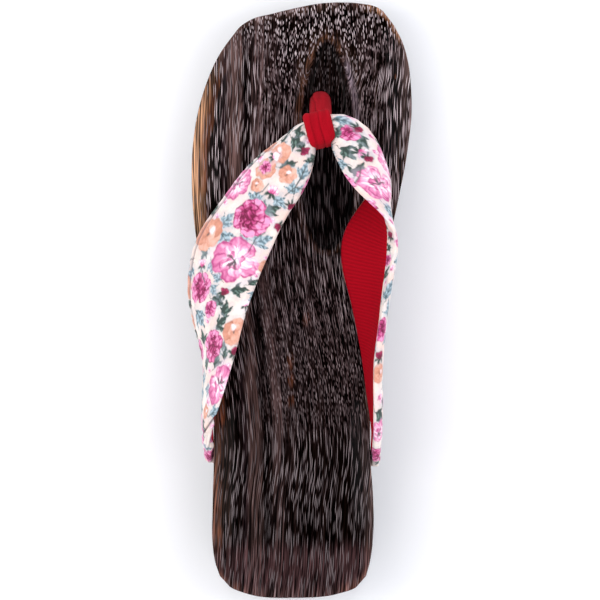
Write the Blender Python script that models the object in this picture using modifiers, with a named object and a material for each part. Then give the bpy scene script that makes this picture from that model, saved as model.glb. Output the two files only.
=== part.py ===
"""Left geta sandal of the low, foot-shaped kind: a one-piece wooden sole with a toe hollow and a carved
arch, a wide padded strap that is pinched at the toe, and the cloth loop that ties it to the sole.

Metres. +Z is up, +Y points to the toes, +X to the wearer's right, which is the big toe's side.
The origin is on the floor, under the middle of the sandal.
"""

import math

import bmesh
import bpy
import numpy as np
from mathutils import Matrix, Vector

# Sole: the outline seen from above, and the heights above the floor
SOLE_LENGTH = 0.240
BALL_WIDTH = 0.0887
SOLE_SHIFT = 0.00077
HEEL_HEIGHT = 0.043
BALL_HEIGHT = 0.027
ARCH_RISE = 0.013
TOE_LIFT = 0.008
TOP_EDGE_RADIUS = 0.0034
FLOOR_EDGE_SHARE = 0.4
RIM_FALL = 0.0008
RIM_FALL_REACH = 0.014

# Hollow round the thong: an egg in plan, its narrow end to the toe, with a wall that eases in and out
HOLLOW_LENGTH = 0.0850
HOLLOW_WIDTH = 0.0232
HOLLOW_DEPTH = 0.0040
HOLLOW_ACROSS = 0.0103
HOLLOW_FROM_TOE = 0.0578
HOLLOW_WALL = 0.0062
HOLLOW_TAPER_SHARE = 0.14

# Strap, measured flat across its middle, and the holes in the sole's sides that take its ends
STRAP_WIDTH = 0.033
STRAP_THICKNESS = 0.0043
STRAP_LIFT = 0.021
SOCKET_RADIUS = 0.0038
SOCKET_DEPTH = 0.0085
TAIL_LENGTH = 0.0078

# Cloth loop at the toe, its hole through the sole, and the pocket under the sole for its knot
LOOP_WIDTH = 0.0108
LOOP_WALL = 0.0017
THONG_HOLE_RADIUS = 0.0046
THONG_FROM_TOE = 0.0400
THONG_ACROSS = 0.0075
KNOT_POCKET_RADIUS = 0.0100
KNOT_POCKET_DEPTH = 0.0100
KNOT_RADIUS = 0.0082
KNOT_HEIGHT = 0.0072

GAP = 0.0003

# Colours as linear RGB, with roughness
CHARRED_WOOD = (0.030, 0.018, 0.016, 1.0), 0.38
PRINTED_COTTON = (0.62, 0.40, 0.42, 1.0), 0.85
RED_CLOTH = (0.36, 0.008, 0.020, 1.0), 0.80

# Sole outline, anticlockwise from the heel's outer corner. across is a share of half the ball width
# from the sole's own centre line, along is a share of the sole length from the heel.
HEEL_SIDE = (
    (-0.744, 0.037), (-0.670, 0.021), (-0.500, 0.007), (-0.070, 0.000),
    (0.330, 0.007), (0.500, 0.019), (0.582, 0.037),
)
BIG_TOE_SIDE = (
    (0.582, 0.037), (0.614, 0.059), (0.650, 0.121), (0.646, 0.163), (0.620, 0.240),
    (0.622, 0.314), (0.648, 0.382), (0.688, 0.457), (0.742, 0.533), (0.810, 0.608),
    (0.896, 0.684), (0.941, 0.726), (0.977, 0.771), (1.000, 0.815), (0.995, 0.855),
    (0.968, 0.899), (0.918, 0.932), (0.836, 0.962),
)
TOE_SIDE = (
    (0.836, 0.962), (0.755, 0.983), (0.682, 0.992), (0.537, 0.998), (0.355, 1.000),
    (0.155, 0.998), (-0.045, 0.991), (-0.272, 0.981), (-0.453, 0.972), (-0.544, 0.962),
    (-0.680, 0.932),
)
LITTLE_TOE_SIDE = (
    (-0.680, 0.932), (-0.753, 0.912), (-0.862, 0.868), (-0.944, 0.818), (-0.994, 0.759),
    (-1.004, 0.709), (-0.994, 0.658), (-0.966, 0.608), (-0.934, 0.566), (-0.907, 0.533),
    (-0.866, 0.465), (-0.834, 0.398), (-0.807, 0.331), (-0.798, 0.247), (-0.810, 0.146),
    (-0.811, 0.096), (-0.789, 0.063), (-0.744, 0.037),
)

# Footbed: along the sole, the share of the rise from ball height to heel height
FOOTBED = (
    (0.00, 0.88), (0.05, 0.955), (0.11, 1.00), (0.24, 0.99), (0.35, 0.86), (0.47, 0.52),
    (0.59, 0.18), (0.69, 0.03), (0.78, 0.00), (0.88, 0.05), (1.00, 0.10),
)
# Underside: where the arch rises and falls, and where the toe starts to lift, along the sole
ARCH_START_SHARE = 0.315
ARCH_FULL_SHARE = 0.405
ARCH_FALL_SHARE = 0.520
ARCH_END_SHARE = 0.620
TOE_LIFT_SHARE = 0.830

# Strap sections from the little-toe side's tail, over the toe, to the big-toe side's tail: control
# rows of one smooth spline. across and along are as for the outline. lift is a share of STRAP_LIFT
# above the footbed. chord and crown are shares of STRAP_WIDTH. tilt is in degrees: 0 is face up, and
# 90 has the inner edge on top. thick is a share of STRAP_THICKNESS.
STRAP_COLUMNS = "across", "along", "lift", "chord", "tilt", "crown", "thick"
STRAP = (
    (-0.842, 0.238, -0.57, 0.22, 90, 0.00, 0.68),
    (-0.850, 0.254, -0.36, 0.32, 90, 0.00, 0.85),
    (-0.856, 0.272, -0.10, 0.45, 90, 0.00, 0.96),
    (-0.860, 0.298, 0.19, 0.58, 86, 0.01, 1.00),
    (-0.822, 0.328, 0.43, 0.67, 76, 0.04, 1.00),
    (-0.776, 0.368, 0.57, 0.76, 71, 0.06, 1.00),
    (-0.748, 0.404, 0.64, 0.85, 66, 0.07, 1.00),
    (-0.744, 0.441, 0.69, 0.91, 58, 0.08, 1.00),
    (-0.744, 0.476, 0.71, 0.95, 48, 0.08, 1.00),
    (-0.742, 0.518, 0.72, 1.00, 34, 0.08, 1.00),
    (-0.668, 0.578, 0.76, 1.00, 28, 0.09, 1.00),
    (-0.546, 0.614, 0.80, 0.95, 27, 0.10, 1.00),
    (-0.436, 0.649, 0.85, 0.88, 27, 0.11, 1.00),
    (-0.336, 0.679, 0.90, 0.83, 26, 0.12, 1.05),
    (-0.209, 0.705, 0.95, 0.76, 24, 0.12, 1.15),
    (-0.114, 0.728, 0.98, 0.66, 22, 0.10, 1.35),
    (-0.028, 0.756, 1.00, 0.46, 20, 0.05, 1.60),
    (0.048, 0.780, 1.00, 0.31, 18, 0.01, 1.80),
    (0.164, 0.783, 1.00, 0.29, 18, 0.00, 1.85),
    (0.280, 0.791, 1.00, 0.31, 18, 0.01, 1.80),
    (0.400, 0.778, 1.00, 0.50, 22, 0.12, 1.50),
    (0.518, 0.742, 0.98, 0.66, 37, 0.21, 1.22),
    (0.572, 0.705, 0.95, 0.72, 56, 0.24, 1.08),
    (0.594, 0.674, 0.91, 0.75, 84, 0.24, 1.00),
    (0.610, 0.648, 0.87, 0.79, 111, 0.20, 1.00),
    (0.622, 0.623, 0.81, 0.86, 131, 0.15, 1.00),
    (0.608, 0.596, 0.77, 0.93, 138, 0.12, 1.00),
    (0.605, 0.558, 0.76, 0.95, 133, 0.11, 1.00),
    (0.618, 0.516, 0.77, 0.92, 121, 0.11, 1.00),
    (0.615, 0.467, 0.74, 0.88, 111, 0.10, 1.00),
    (0.620, 0.427, 0.71, 0.83, 105, 0.08, 1.00),
    (0.626, 0.368, 0.61, 0.72, 99, 0.06, 1.00),
    (0.652, 0.311, 0.49, 0.60, 94, 0.04, 1.00),
    (0.676, 0.276, 0.14, 0.52, 91, 0.01, 0.94),
    (0.670, 0.252, -0.24, 0.37, 90, 0.00, 0.80),
    (0.667, 0.233, -0.57, 0.23, 90, 0.00, 0.68),
)
STRAP_STATIONS = 74
STRAP_SECTION_POINTS = 20
TAIL_ROWS = 0, len(STRAP) - 1
LOOP_ROW = 18

# Cloth loop's stem, from its hole's mouth up to the strap's middle. height is a share of that rise,
# lean the share of the way back from the hole to the strap's middle, and half_x and half_y are shares
# of the hole's radius less the gap.
STEM_COLUMNS = "height", "lean", "half_x", "half_y"
STEM = (
    (-0.16, 0.00, 1.00, 1.00),
    (0.02, 0.00, 1.00, 1.00),
    (0.16, 0.13, 1.03, 1.14),
    (0.34, 0.33, 1.05, 1.30),
    (0.53, 0.56, 1.08, 1.42),
    (0.72, 0.78, 1.12, 1.48),
    (0.90, 0.95, 1.12, 1.40),
)
STEM_SECTION_POINTS = 20


def smooth_at(at, places, values):
    """The smooth curve through (places, values), read at one place or at several."""
    places, values = np.asarray(places, float), np.asarray(values, float)
    slopes = np.gradient(values, places)
    i = np.clip(np.searchsorted(places, at, side="right") - 1, 0, len(places) - 2)
    span = places[i + 1] - places[i]
    t = np.clip((np.asarray(at, float) - places[i]) / span, 0, 1)
    start = (2 * t**3 - 3 * t**2 + 1) * values[i] + (t**3 - 2 * t**2 + t) * span * slopes[i]
    end = (3 * t**2 - 2 * t**3) * values[i + 1] + (t**3 - t**2) * span * slopes[i + 1]
    return start + end


def ease(t):
    """0 to 1 along an S curve."""
    t = np.clip(t, 0, 1)
    return t * t * (3 - 2 * t)


def sole_xy(across, along):
    """Metres in plan of a point given in shares of the outline."""
    return SOLE_SHIFT + across * BALL_WIDTH / 2, (along - 0.5) * SOLE_LENGTH


def footbed_height(y):
    """Height of the footbed's middle above the floor, without the toe hollow."""
    along = y / SOLE_LENGTH + 0.5
    rise = smooth_at(along, *zip(*FOOTBED))
    return BALL_HEIGHT + rise * (HEEL_HEIGHT - BALL_HEIGHT)


def hollow_depth(x, y):
    """How far the toe hollow goes down at a point in plan."""
    along = (y - SOLE_LENGTH / 2 + HOLLOW_FROM_TOE) / (HOLLOW_LENGTH / 2)
    half = HOLLOW_WIDTH / 2 * (1 - HOLLOW_TAPER_SHARE * np.clip(along, -1, 1))
    across = (x - SOLE_SHIFT - HOLLOW_ACROSS) / half
    slope = 2 * np.hypot(across / half, along / (HOLLOW_LENGTH / 2))
    outside = (across**2 + along**2 - 1) / np.maximum(slope, 1 / HOLLOW_LENGTH)
    return HOLLOW_DEPTH * ease(0.5 - outside / HOLLOW_WALL)


def underside_height(y):
    """Height of the sole's underside: two flat pads, the arch between them, and the lifted toe."""
    along = y / SOLE_LENGTH + 0.5
    arch = ease((along - ARCH_START_SHARE) / (ARCH_FULL_SHARE - ARCH_START_SHARE))
    arch *= 1 - ease((along - ARCH_FALL_SHARE) / (ARCH_END_SHARE - ARCH_FALL_SHARE))
    toe = np.clip((along - TOE_LIFT_SHARE) / (1 - TOE_LIFT_SHARE), 0, 1) ** 1.6
    return ARCH_RISE * arch + TOE_LIFT * toe


def border_curves():
    """The outline's four sides in plan, each finely divided, in the table's own order."""
    sides = HEEL_SIDE, BIG_TOE_SIDE, TOE_SIDE, LITTLE_TOE_SIDE
    points = np.array([sole_xy(*row) for side in sides for row in side[:-1]])
    closed = np.vstack([points[-2:], points, points[:3]])
    steps = np.linalg.norm(np.diff(closed, axis=0), axis=1)
    travelled = np.concatenate([[0], np.cumsum(steps)])
    curves, first = [], 2
    for side in sides:
        last = first + len(side) - 1
        at = np.linspace(travelled[first], travelled[last], 160)
        curves.append(np.stack([smooth_at(at, travelled, closed[:, axis]) for axis in (0, 1)], 1))
        first = last
    return curves


def read_side(curve, axis, share):
    """The point of a side at a share of its extent along one axis."""
    order = np.argsort(curve[:, axis])
    wanted = curve[:, axis].min() + share * np.ptp(curve[:, axis])
    other = np.interp(wanted, curve[order, axis], curve[order, 1 - axis])
    return np.array([wanted, other] if axis == 0 else [other, wanted])


def sole_plan(columns, rows):
    """Points in plan over the whole outline, [row][column], blended from its four sides."""
    heel, big_toe, toe, little_toe = border_curves()
    corners = heel[0], heel[-1], toe[-1], toe[0]
    plan = []
    for v in rows:
        left, right = read_side(little_toe, 1, v), read_side(big_toe, 1, v)
        row = []
        for u in columns:
            across = (1 - u) * left + u * right
            lengthways = (1 - v) * read_side(heel, 0, u) + v * read_side(toe, 0, u)
            at_corners = (1 - v) * ((1 - u) * corners[0] + u * corners[1])
            at_corners = at_corners + v * ((1 - u) * corners[2] + u * corners[3])
            row.append(across + lengthways - at_corners)
        plan.append(row)
    return np.array(plan)


def graded(*spans):
    """Shares from 0 to 1 in spans, each given as its end and its number of cells."""
    shares, start = [0.0], 0.0
    for end, cells in spans:
        shares.extend(np.linspace(start, end, cells + 1)[1:])
        start = end
    return shares


def new_object(name, mesh, collection, finish=None):
    made = bpy.data.objects.new(name, mesh)
    collection.objects.link(made)
    if finish:
        mesh.materials.append(finish)
    return made


def finish_of(name, look):
    """A material with its colour and roughness."""
    colour, roughness = look
    made = bpy.data.materials.new(name)
    made.use_nodes = True
    shader = made.node_tree.nodes["Principled BSDF"]
    shader.inputs["Base Color"].default_value = colour
    shader.inputs["Roughness"].default_value = roughness
    made.diffuse_color = colour
    return made


def smooth_shaded(mesh, degrees=40):
    mesh.shade_smooth()
    mesh.set_sharp_from_angle(angle=math.radians(degrees))


def loft(rings):
    """A closed mesh through rings of equally many points, with a cap at each end."""
    built = bmesh.new()
    loops = [[built.verts.new(point) for point in ring] for ring in rings]
    for one, other in zip(loops, loops[1:]):
        for i, corner in enumerate(one):
            j = (i + 1) % len(one)
            built.faces.new((corner, one[j], other[j], other[i]))
    built.faces.new(loops[0])
    built.faces.new(loops[-1])
    bmesh.ops.recalc_face_normals(built, faces=built.faces)
    mesh = bpy.data.meshes.new("loft")
    built.to_mesh(mesh)
    built.free()
    smooth_shaded(mesh)
    return mesh


def cylinder(name, radius, start, end, collection, sides=32):
    """A round solid from one point to another."""
    start, end = Vector(start), Vector(end)
    built = bmesh.new()
    turn = (end - start).to_track_quat("Z", "Y").to_matrix().to_4x4()
    place = Matrix.Translation((start + end) / 2) @ turn
    bmesh.ops.create_cone(
        built, cap_ends=True, segments=sides, radius1=radius, radius2=radius,
        depth=(end - start).length, matrix=place,
    )
    mesh = bpy.data.meshes.new(name)
    built.to_mesh(mesh)
    built.free()
    return new_object(name, mesh, collection)


def as_helper(made):
    made.hide_render = True
    made.display_type = "WIRE"
    return made


def boolean(target, operation, other):
    """Adds a Boolean with a helper object, which stays in the helpers' collection."""
    modifier = target.modifiers.new(f"{operation.lower()} {other.name}", "BOOLEAN")
    modifier.operation = operation
    modifier.object = as_helper(other)


def sole_mesh():
    """The sole before its holes: a grid over the outline for the footbed, one for the underside, and
    the wall between their borders, with the rims marked for rounding."""
    columns = graded((0.46, 7), (0.81, 14), (1.0, 4))
    rows = graded((0.26, 7), (0.66, 21), (1.0, 20))
    plan = sole_plan(columns, rows)
    across_reach = np.minimum(columns, 1 - np.array(columns)) * BALL_WIDTH
    along_reach = np.minimum(rows, 1 - np.array(rows)) * SOLE_LENGTH
    built = bmesh.new()
    weight = built.edges.layers.float.new("bevel_weight_edge")
    levels = []
    for is_top in (False, True):
        bmesh.ops.create_grid(built, x_segments=len(columns) - 1, y_segments=len(rows) - 1, size=1)
        built.verts.ensure_lookup_table()
        level = list(built.verts)[-len(columns) * len(rows):]
        for i, vert in enumerate(level):
            row, column = divmod(i, len(columns))
            x, y = plan[row][column]
            reach = min(across_reach[column], along_reach[row])
            fall = RIM_FALL * (1 - ease(reach / RIM_FALL_REACH))
            top = footbed_height(y) - hollow_depth(x, y) - fall
            vert.co = x, y, top if is_top else underside_height(y)
        levels.append(level)
    rims = [edge for edge in built.edges if edge.is_boundary]
    top_verts = set(levels[1])
    for edge in rims:
        edge[weight] = 1.0 if edge.verts[0] in top_verts else FLOOR_EDGE_SHARE
    bmesh.ops.bridge_loops(built, edges=rims)
    bmesh.ops.recalc_face_normals(built, faces=built.faces)
    mesh = bpy.data.meshes.new("wooden_sole")
    built.to_mesh(mesh)
    built.free()
    smooth_shaded(mesh)
    return mesh


def spline_at(at, values):
    """A cubic B-spline over control values one apart, read at these places along them. It ends on the
    first and last value."""
    padded = np.concatenate([[2 * values[0] - values[1]], values, [2 * values[-1] - values[-2]]])
    at = np.asarray(at, float)
    i = np.clip(np.floor(at), 0, len(values) - 2).astype(int)
    t = at - i
    weights = (1 - t) ** 3, 3 * t**3 - 6 * t**2 + 4, 1 + 3 * t + 3 * t**2 - 3 * t**3, t**3
    reach = np.minimum(i + 3, len(padded) - 1)
    values = padded[i], padded[i + 1], padded[i + 2], padded[reach]
    return sum(weight * value for weight, value in zip(weights, values)) / 6


def strap_sections(at):
    """The strap's sections at these rows of STRAP: where each is, how it stands, and its sizes, in
    metres and radians."""
    table = {name: np.array(column, float) for name, column in zip(STRAP_COLUMNS, zip(*STRAP))}
    x, y = sole_xy(table["across"], table["along"])
    rows = x, y, footbed_height(y) + table["lift"] * STRAP_LIFT

    def middle_at(places):
        return np.stack([spline_at(places, axis) for axis in rows], 1)

    at = np.asarray(at, float)
    forward = middle_at(np.minimum(at + 0.8, len(STRAP) - 1)) - middle_at(np.maximum(at - 0.8, 0))
    forward /= np.linalg.norm(forward, axis=1)[:, None]
    outward = np.cross((0, 0, 1), forward)
    outward /= np.linalg.norm(outward, axis=1)[:, None]
    up = np.cross(forward, outward)
    tilt = np.radians(spline_at(at, table["tilt"]))[:, None]
    return {
        "middle": middle_at(at),
        "forward": forward,
        "inward": up * np.sin(tilt) - outward * np.cos(tilt),
        "face": up * np.cos(tilt) + outward * np.sin(tilt),
        "chord": spline_at(at, table["chord"]) * STRAP_WIDTH,
        "crown": spline_at(at, table["crown"]) * STRAP_WIDTH,
        "thick": spline_at(at, table["thick"]) * STRAP_THICKNESS,
    }


def strap_rings(at, grow=0.0):
    """The strap's rings at these rows of STRAP: a padded band with round edges, crowned to its outer
    face. grow makes it larger all round."""
    sections = strap_sections(at)
    angle = np.linspace(0, 2 * math.pi, STRAP_SECTION_POINTS, endpoint=False)
    flat = np.sign(np.cos(angle)) * np.abs(np.cos(angle)) ** 0.75
    high = np.sign(np.sin(angle)) * np.abs(np.sin(angle)) ** 0.60
    rings = []
    for i, middle in enumerate(sections["middle"]):
        along_chord = flat * (sections["chord"][i] / 2 + grow)
        off_face = sections["crown"][i] * (1 - flat**2) + high * (sections["thick"][i] / 2 + grow)
        in_plane = along_chord[:, None] * sections["inward"][i] + off_face[:, None] * sections["face"][i]
        rings.append(middle + in_plane)
    return rings


def tail_ends(row):
    """For a tail's row of STRAP: the tail's start and end, and its socket's mouth and bottom."""
    x, y, z = (float(value) for value in strap_sections([row])["middle"][0])
    side = -1 if x < SOLE_SHIFT else 1
    heel, big_toe, toe, little_toe = border_curves()
    wall = little_toe if side < 0 else big_toe
    order = np.argsort(wall[:, 1])
    wall_x = float(np.interp(y, wall[order, 1], wall[order, 0]))
    places = x, wall_x - side * TAIL_LENGTH, wall_x + side * SOCKET_RADIUS, wall_x - side * SOCKET_DEPTH
    return [Vector((place, y, z)) for place in places]


def make_strap(parts, helpers, finish):
    """The upper: one padded band, with a round tail on each end that goes into the sole."""
    rings = strap_rings(np.linspace(0, len(STRAP) - 1, STRAP_STATIONS))
    strap = new_object("strap_upper", loft(rings), parts, finish)
    for name, row in zip(("tail outer", "tail inner"), TAIL_ROWS):
        start, end, _, _ = tail_ends(row)
        tail = cylinder(name, SOCKET_RADIUS - 2 * GAP, start, end, helpers, sides=20)
        boolean(strap, "UNION", tail)
    return strap


def make_sole(parts, helpers, finish):
    """The sole, rounded along its rims, with the thong's hole, the knot's pocket and the sockets."""
    sole = new_object("wooden_sole", sole_mesh(), parts, finish)
    rounding = sole.modifiers.new("rims", "BEVEL")
    rounding.limit_method = "WEIGHT"
    rounding.width = TOP_EDGE_RADIUS
    rounding.segments = 3
    x, y = thong_place()
    over = HEEL_HEIGHT
    hole = cylinder("thong hole", THONG_HOLE_RADIUS, (x, y, -over), (x, y, over), helpers)
    pocket_roof = KNOT_POCKET_DEPTH
    pocket = cylinder("knot pocket", KNOT_POCKET_RADIUS, (x, y, -over), (x, y, pocket_roof), helpers)
    boolean(sole, "DIFFERENCE", hole)
    boolean(sole, "DIFFERENCE", pocket)
    for name, row in zip(("socket outer", "socket inner"), TAIL_ROWS):
        _, _, mouth, bottom = tail_ends(row)
        boolean(sole, "DIFFERENCE", cylinder(name, SOCKET_RADIUS, mouth, bottom, helpers))
    return sole


def thong_place():
    return SOLE_SHIFT + THONG_ACROSS, SOLE_LENGTH / 2 - THONG_FROM_TOE


def stem_rings(top):
    """The stem's rings, from the knot's underside through the hole and up to the strap's middle."""
    hole_x, hole_y = thong_place()
    mouth = footbed_height(hole_y) - hollow_depth(hole_x, hole_y)
    neck = THONG_HOLE_RADIUS - GAP
    roof = KNOT_POCKET_DEPTH - GAP
    levels = []
    for turn in np.radians((-72, -45, -15, 15, 45, 68)):
        radius = KNOT_RADIUS * math.cos(turn)
        height = roof - KNOT_HEIGHT / 2 * (1 - math.sin(turn))
        levels.append((hole_x, hole_y, height, radius, radius))
    levels.append((hole_x, hole_y, roof + GAP, neck, neck))
    for row in STEM:
        section = dict(zip(STEM_COLUMNS, row))
        x = hole_x + section["lean"] * (top[0] - hole_x)
        y = hole_y + section["lean"] * (top[1] - hole_y)
        height = mouth + section["height"] * (top[2] - mouth)
        levels.append((x, y, height, section["half_x"] * neck, section["half_y"] * neck))
    angle = np.linspace(0, 2 * math.pi, STEM_SECTION_POINTS, endpoint=False)
    return [
        np.stack([x + a * np.cos(angle), y + b * np.sin(angle), np.full_like(angle, z)], 1)
        for x, y, z, a, b in levels
    ]


def make_thong(parts, helpers, finish):
    """The cloth loop: a sleeve round the pinched strap, and a stem down to the knot under the sole."""
    pinch = strap_sections([LOOP_ROW])
    top, through = pinch["middle"][0], pinch["forward"][0]
    sleeve = []
    for share, wall in ((-1, 0.4), (-0.88, 1), (0, 1), (0.88, 1), (1, 0.4)):
        ring = strap_rings([LOOP_ROW], GAP + wall * LOOP_WALL)[0]
        sleeve.append(ring + share * LOOP_WIDTH / 2 * through)
    channel = strap_rings(LOOP_ROW + np.linspace(-2, 2, 17), GAP)
    thong = new_object("toe_thong", loft(sleeve), parts, finish)
    boolean(thong, "UNION", new_object("stem", loft(stem_rings(top)), helpers))
    boolean(thong, "DIFFERENCE", new_object("channel", loft(channel), helpers))
    return thong


def main():
    for old in list(bpy.data.objects):
        bpy.data.objects.remove(old)
    parts = bpy.data.collections.new("geta sandal")
    helpers = bpy.data.collections.new("cutters and joiners")
    for collection in (parts, helpers):
        bpy.context.scene.collection.children.link(collection)
    make_sole(parts, helpers, finish_of("charred wood", CHARRED_WOOD))
    make_strap(parts, helpers, finish_of("printed cotton", PRINTED_COTTON))
    make_thong(parts, helpers, finish_of("red cloth", RED_CLOTH))


main()
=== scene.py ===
"""Looks of a left geta sandal: charred and lacquered wood, a padded strap of printed cotton on a red
ribbed lining, and a red cloth toe loop, on a pale floor in soft light.

Metres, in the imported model's frame: +Z is up, +Y points to the toes, +X to the wearer's right.
"""

import math

import bmesh
import bpy
import numpy as np
from mathutils import Matrix, Vector


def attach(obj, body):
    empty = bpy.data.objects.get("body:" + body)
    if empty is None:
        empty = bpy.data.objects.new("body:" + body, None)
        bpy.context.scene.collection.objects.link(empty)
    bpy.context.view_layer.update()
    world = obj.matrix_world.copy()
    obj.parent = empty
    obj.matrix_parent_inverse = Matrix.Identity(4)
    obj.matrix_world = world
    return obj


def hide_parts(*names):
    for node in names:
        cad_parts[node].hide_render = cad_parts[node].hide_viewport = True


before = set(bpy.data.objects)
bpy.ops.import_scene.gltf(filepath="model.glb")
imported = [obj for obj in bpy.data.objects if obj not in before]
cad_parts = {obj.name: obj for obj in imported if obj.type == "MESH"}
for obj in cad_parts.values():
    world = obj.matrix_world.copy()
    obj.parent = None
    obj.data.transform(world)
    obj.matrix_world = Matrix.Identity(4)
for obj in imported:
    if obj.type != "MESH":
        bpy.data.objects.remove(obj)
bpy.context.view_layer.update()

MM = 0.001

# ---- The wooden sole -------------------------------------------------------------------------
# One block of light paulownia, sawn and carved to a foot's shape with an arch under the waist and a
# leaf-shaped hollow round the toe loop. It is scorched, brushed along the grain and lacquered, so
# its open vessels show as pale dashes on a near-black ground, and its rims are rubbed back to tan.
SOLE_LENGTH = 0.240
BALL_WIDTH = 0.0887
SOLE_SHIFT = 0.00077
HEEL_HEIGHT = 0.043
BALL_HEIGHT = 0.027
ARCH_RISE = 0.013
TOE_LIFT = 0.008
TOP_EDGE_RADIUS = 0.0034
WALL_COURSES = (0.3, 0.55, 0.72)
FLOOR_EDGE_SHARE = 0.4
RIM_FALL = 0.0008
RIM_FALL_REACH = 0.014
HOLLOW_LENGTH = 0.0850
HOLLOW_WIDTH = 0.0232
HOLLOW_DEPTH = 0.0040
HOLLOW_ACROSS = 0.0103
HOLLOW_FROM_TOE = 0.0578
HOLLOW_WALL = 0.0062
HOLLOW_TAPER_SHARE = 0.14
SOCKET_RADIUS = 0.0038
SOCKET_DEPTH = 0.0085
THONG_HOLE_RADIUS = 0.0046
THONG_FROM_TOE = 0.0400
THONG_ACROSS = 0.0075
KNOT_POCKET_RADIUS = 0.0100
KNOT_POCKET_DEPTH = 0.0100
# The outline's sides, anticlockwise from the heel's outer corner: shares of half the ball width and
# of the sole's length.
HEEL_SIDE = (
    (-0.744, 0.037), (-0.670, 0.021), (-0.500, 0.007), (-0.070, 0.000),
    (0.330, 0.007), (0.500, 0.019), (0.582, 0.037),
)
BIG_TOE_SIDE = (
    (0.582, 0.037), (0.614, 0.059), (0.650, 0.121), (0.646, 0.163), (0.620, 0.240),
    (0.622, 0.314), (0.648, 0.382), (0.688, 0.457), (0.742, 0.533), (0.810, 0.608),
    (0.896, 0.684), (0.941, 0.726), (0.977, 0.771), (1.000, 0.815), (0.995, 0.855),
    (0.968, 0.899), (0.918, 0.932), (0.836, 0.962),
)
TOE_SIDE = (
    (0.836, 0.962), (0.755, 0.983), (0.682, 0.992), (0.537, 0.998), (0.355, 1.000),
    (0.155, 0.998), (-0.045, 0.991), (-0.272, 0.981), (-0.453, 0.972), (-0.544, 0.962),
    (-0.680, 0.932),
)
LITTLE_TOE_SIDE = (
    (-0.680, 0.932), (-0.753, 0.912), (-0.862, 0.868), (-0.944, 0.818), (-0.994, 0.759),
    (-1.004, 0.709), (-0.994, 0.658), (-0.966, 0.608), (-0.934, 0.566), (-0.907, 0.533),
    (-0.866, 0.465), (-0.834, 0.398), (-0.807, 0.331), (-0.798, 0.247), (-0.810, 0.146),
    (-0.811, 0.096), (-0.789, 0.063), (-0.744, 0.037),
)
# Along the sole, the footbed's share of the rise from ball height to heel height
FOOTBED = (
    (0.00, 0.88), (0.05, 0.955), (0.11, 1.00), (0.24, 0.99), (0.35, 0.86), (0.47, 0.52),
    (0.59, 0.18), (0.69, 0.03), (0.78, 0.00), (0.88, 0.05), (1.00, 0.10),
)
ARCH_START_SHARE = 0.315
ARCH_FULL_SHARE = 0.405
ARCH_FALL_SHARE = 0.520
ARCH_END_SHARE = 0.620
TOE_LIFT_SHARE = 0.830


def smooth_at(at, places, values):
    """The smooth curve through (places, values), read at one place or at several."""
    places, values = np.asarray(places, float), np.asarray(values, float)
    slopes = np.gradient(values, places)
    i = np.clip(np.searchsorted(places, at, side="right") - 1, 0, len(places) - 2)
    span = places[i + 1] - places[i]
    t = np.clip((np.asarray(at, float) - places[i]) / span, 0, 1)
    start = (2 * t**3 - 3 * t**2 + 1) * values[i] + (t**3 - 2 * t**2 + t) * span * slopes[i]
    end = (3 * t**2 - 2 * t**3) * values[i + 1] + (t**3 - t**2) * span * slopes[i + 1]
    return start + end


def ease(t):
    """0 to 1 along an S curve."""
    t = np.clip(t, 0, 1)
    return t * t * (3 - 2 * t)


def sole_xy(across, along):
    return SOLE_SHIFT + across * BALL_WIDTH / 2, (along - 0.5) * SOLE_LENGTH


def footbed_height(y):
    rise = smooth_at(y / SOLE_LENGTH + 0.5, *zip(*FOOTBED))
    return BALL_HEIGHT + rise * (HEEL_HEIGHT - BALL_HEIGHT)


def hollow_depth(x, y):
    along = (y - SOLE_LENGTH / 2 + HOLLOW_FROM_TOE) / (HOLLOW_LENGTH / 2)
    half = HOLLOW_WIDTH / 2 * (1 - HOLLOW_TAPER_SHARE * np.clip(along, -1, 1))
    across = (x - SOLE_SHIFT - HOLLOW_ACROSS) / half
    slope = 2 * np.hypot(across / half, along / (HOLLOW_LENGTH / 2))
    outside = (across**2 + along**2 - 1) / np.maximum(slope, 1 / HOLLOW_LENGTH)
    return HOLLOW_DEPTH * ease(0.5 - outside / HOLLOW_WALL)


def underside_height(y):
    along = y / SOLE_LENGTH + 0.5
    arch = ease((along - ARCH_START_SHARE) / (ARCH_FULL_SHARE - ARCH_START_SHARE))
    arch *= 1 - ease((along - ARCH_FALL_SHARE) / (ARCH_END_SHARE - ARCH_FALL_SHARE))
    toe = np.clip((along - TOE_LIFT_SHARE) / (1 - TOE_LIFT_SHARE), 0, 1) ** 1.6
    return ARCH_RISE * arch + TOE_LIFT * toe


def border_curves():
    """The outline's four sides in plan, finely divided: heel, big toe's, toe and little toe's."""
    sides = HEEL_SIDE, BIG_TOE_SIDE, TOE_SIDE, LITTLE_TOE_SIDE
    points = np.array([sole_xy(*row) for side in sides for row in side[:-1]])
    closed = np.vstack([points[-2:], points, points[:3]])
    steps = np.linalg.norm(np.diff(closed, axis=0), axis=1)
    travelled = np.concatenate([[0], np.cumsum(steps)])
    curves, first = [], 2
    for side in sides:
        last = first + len(side) - 1
        at = np.linspace(travelled[first], travelled[last], 400)
        curves.append(np.stack([smooth_at(at, travelled, closed[:, axis]) for axis in (0, 1)], 1))
        first = last
    return curves


heel_rim, big_toe_rim, toe_rim, little_toe_rim = border_curves()


def rim_at(curve, axis, at):
    """The other coordinate of a side's curve, where this axis has the given values."""
    order = np.argsort(curve[:, axis])
    return np.interp(at, curve[order, axis], curve[order, 1 - axis])


def read_side(curve, axis, shares):
    """Points of a side at shares of its extent along one axis."""
    wanted = curve[:, axis].min() + shares * np.ptp(curve[:, axis])
    other = rim_at(curve, axis, wanted)
    return np.stack([wanted, other] if axis == 0 else [other, wanted], -1)


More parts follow.
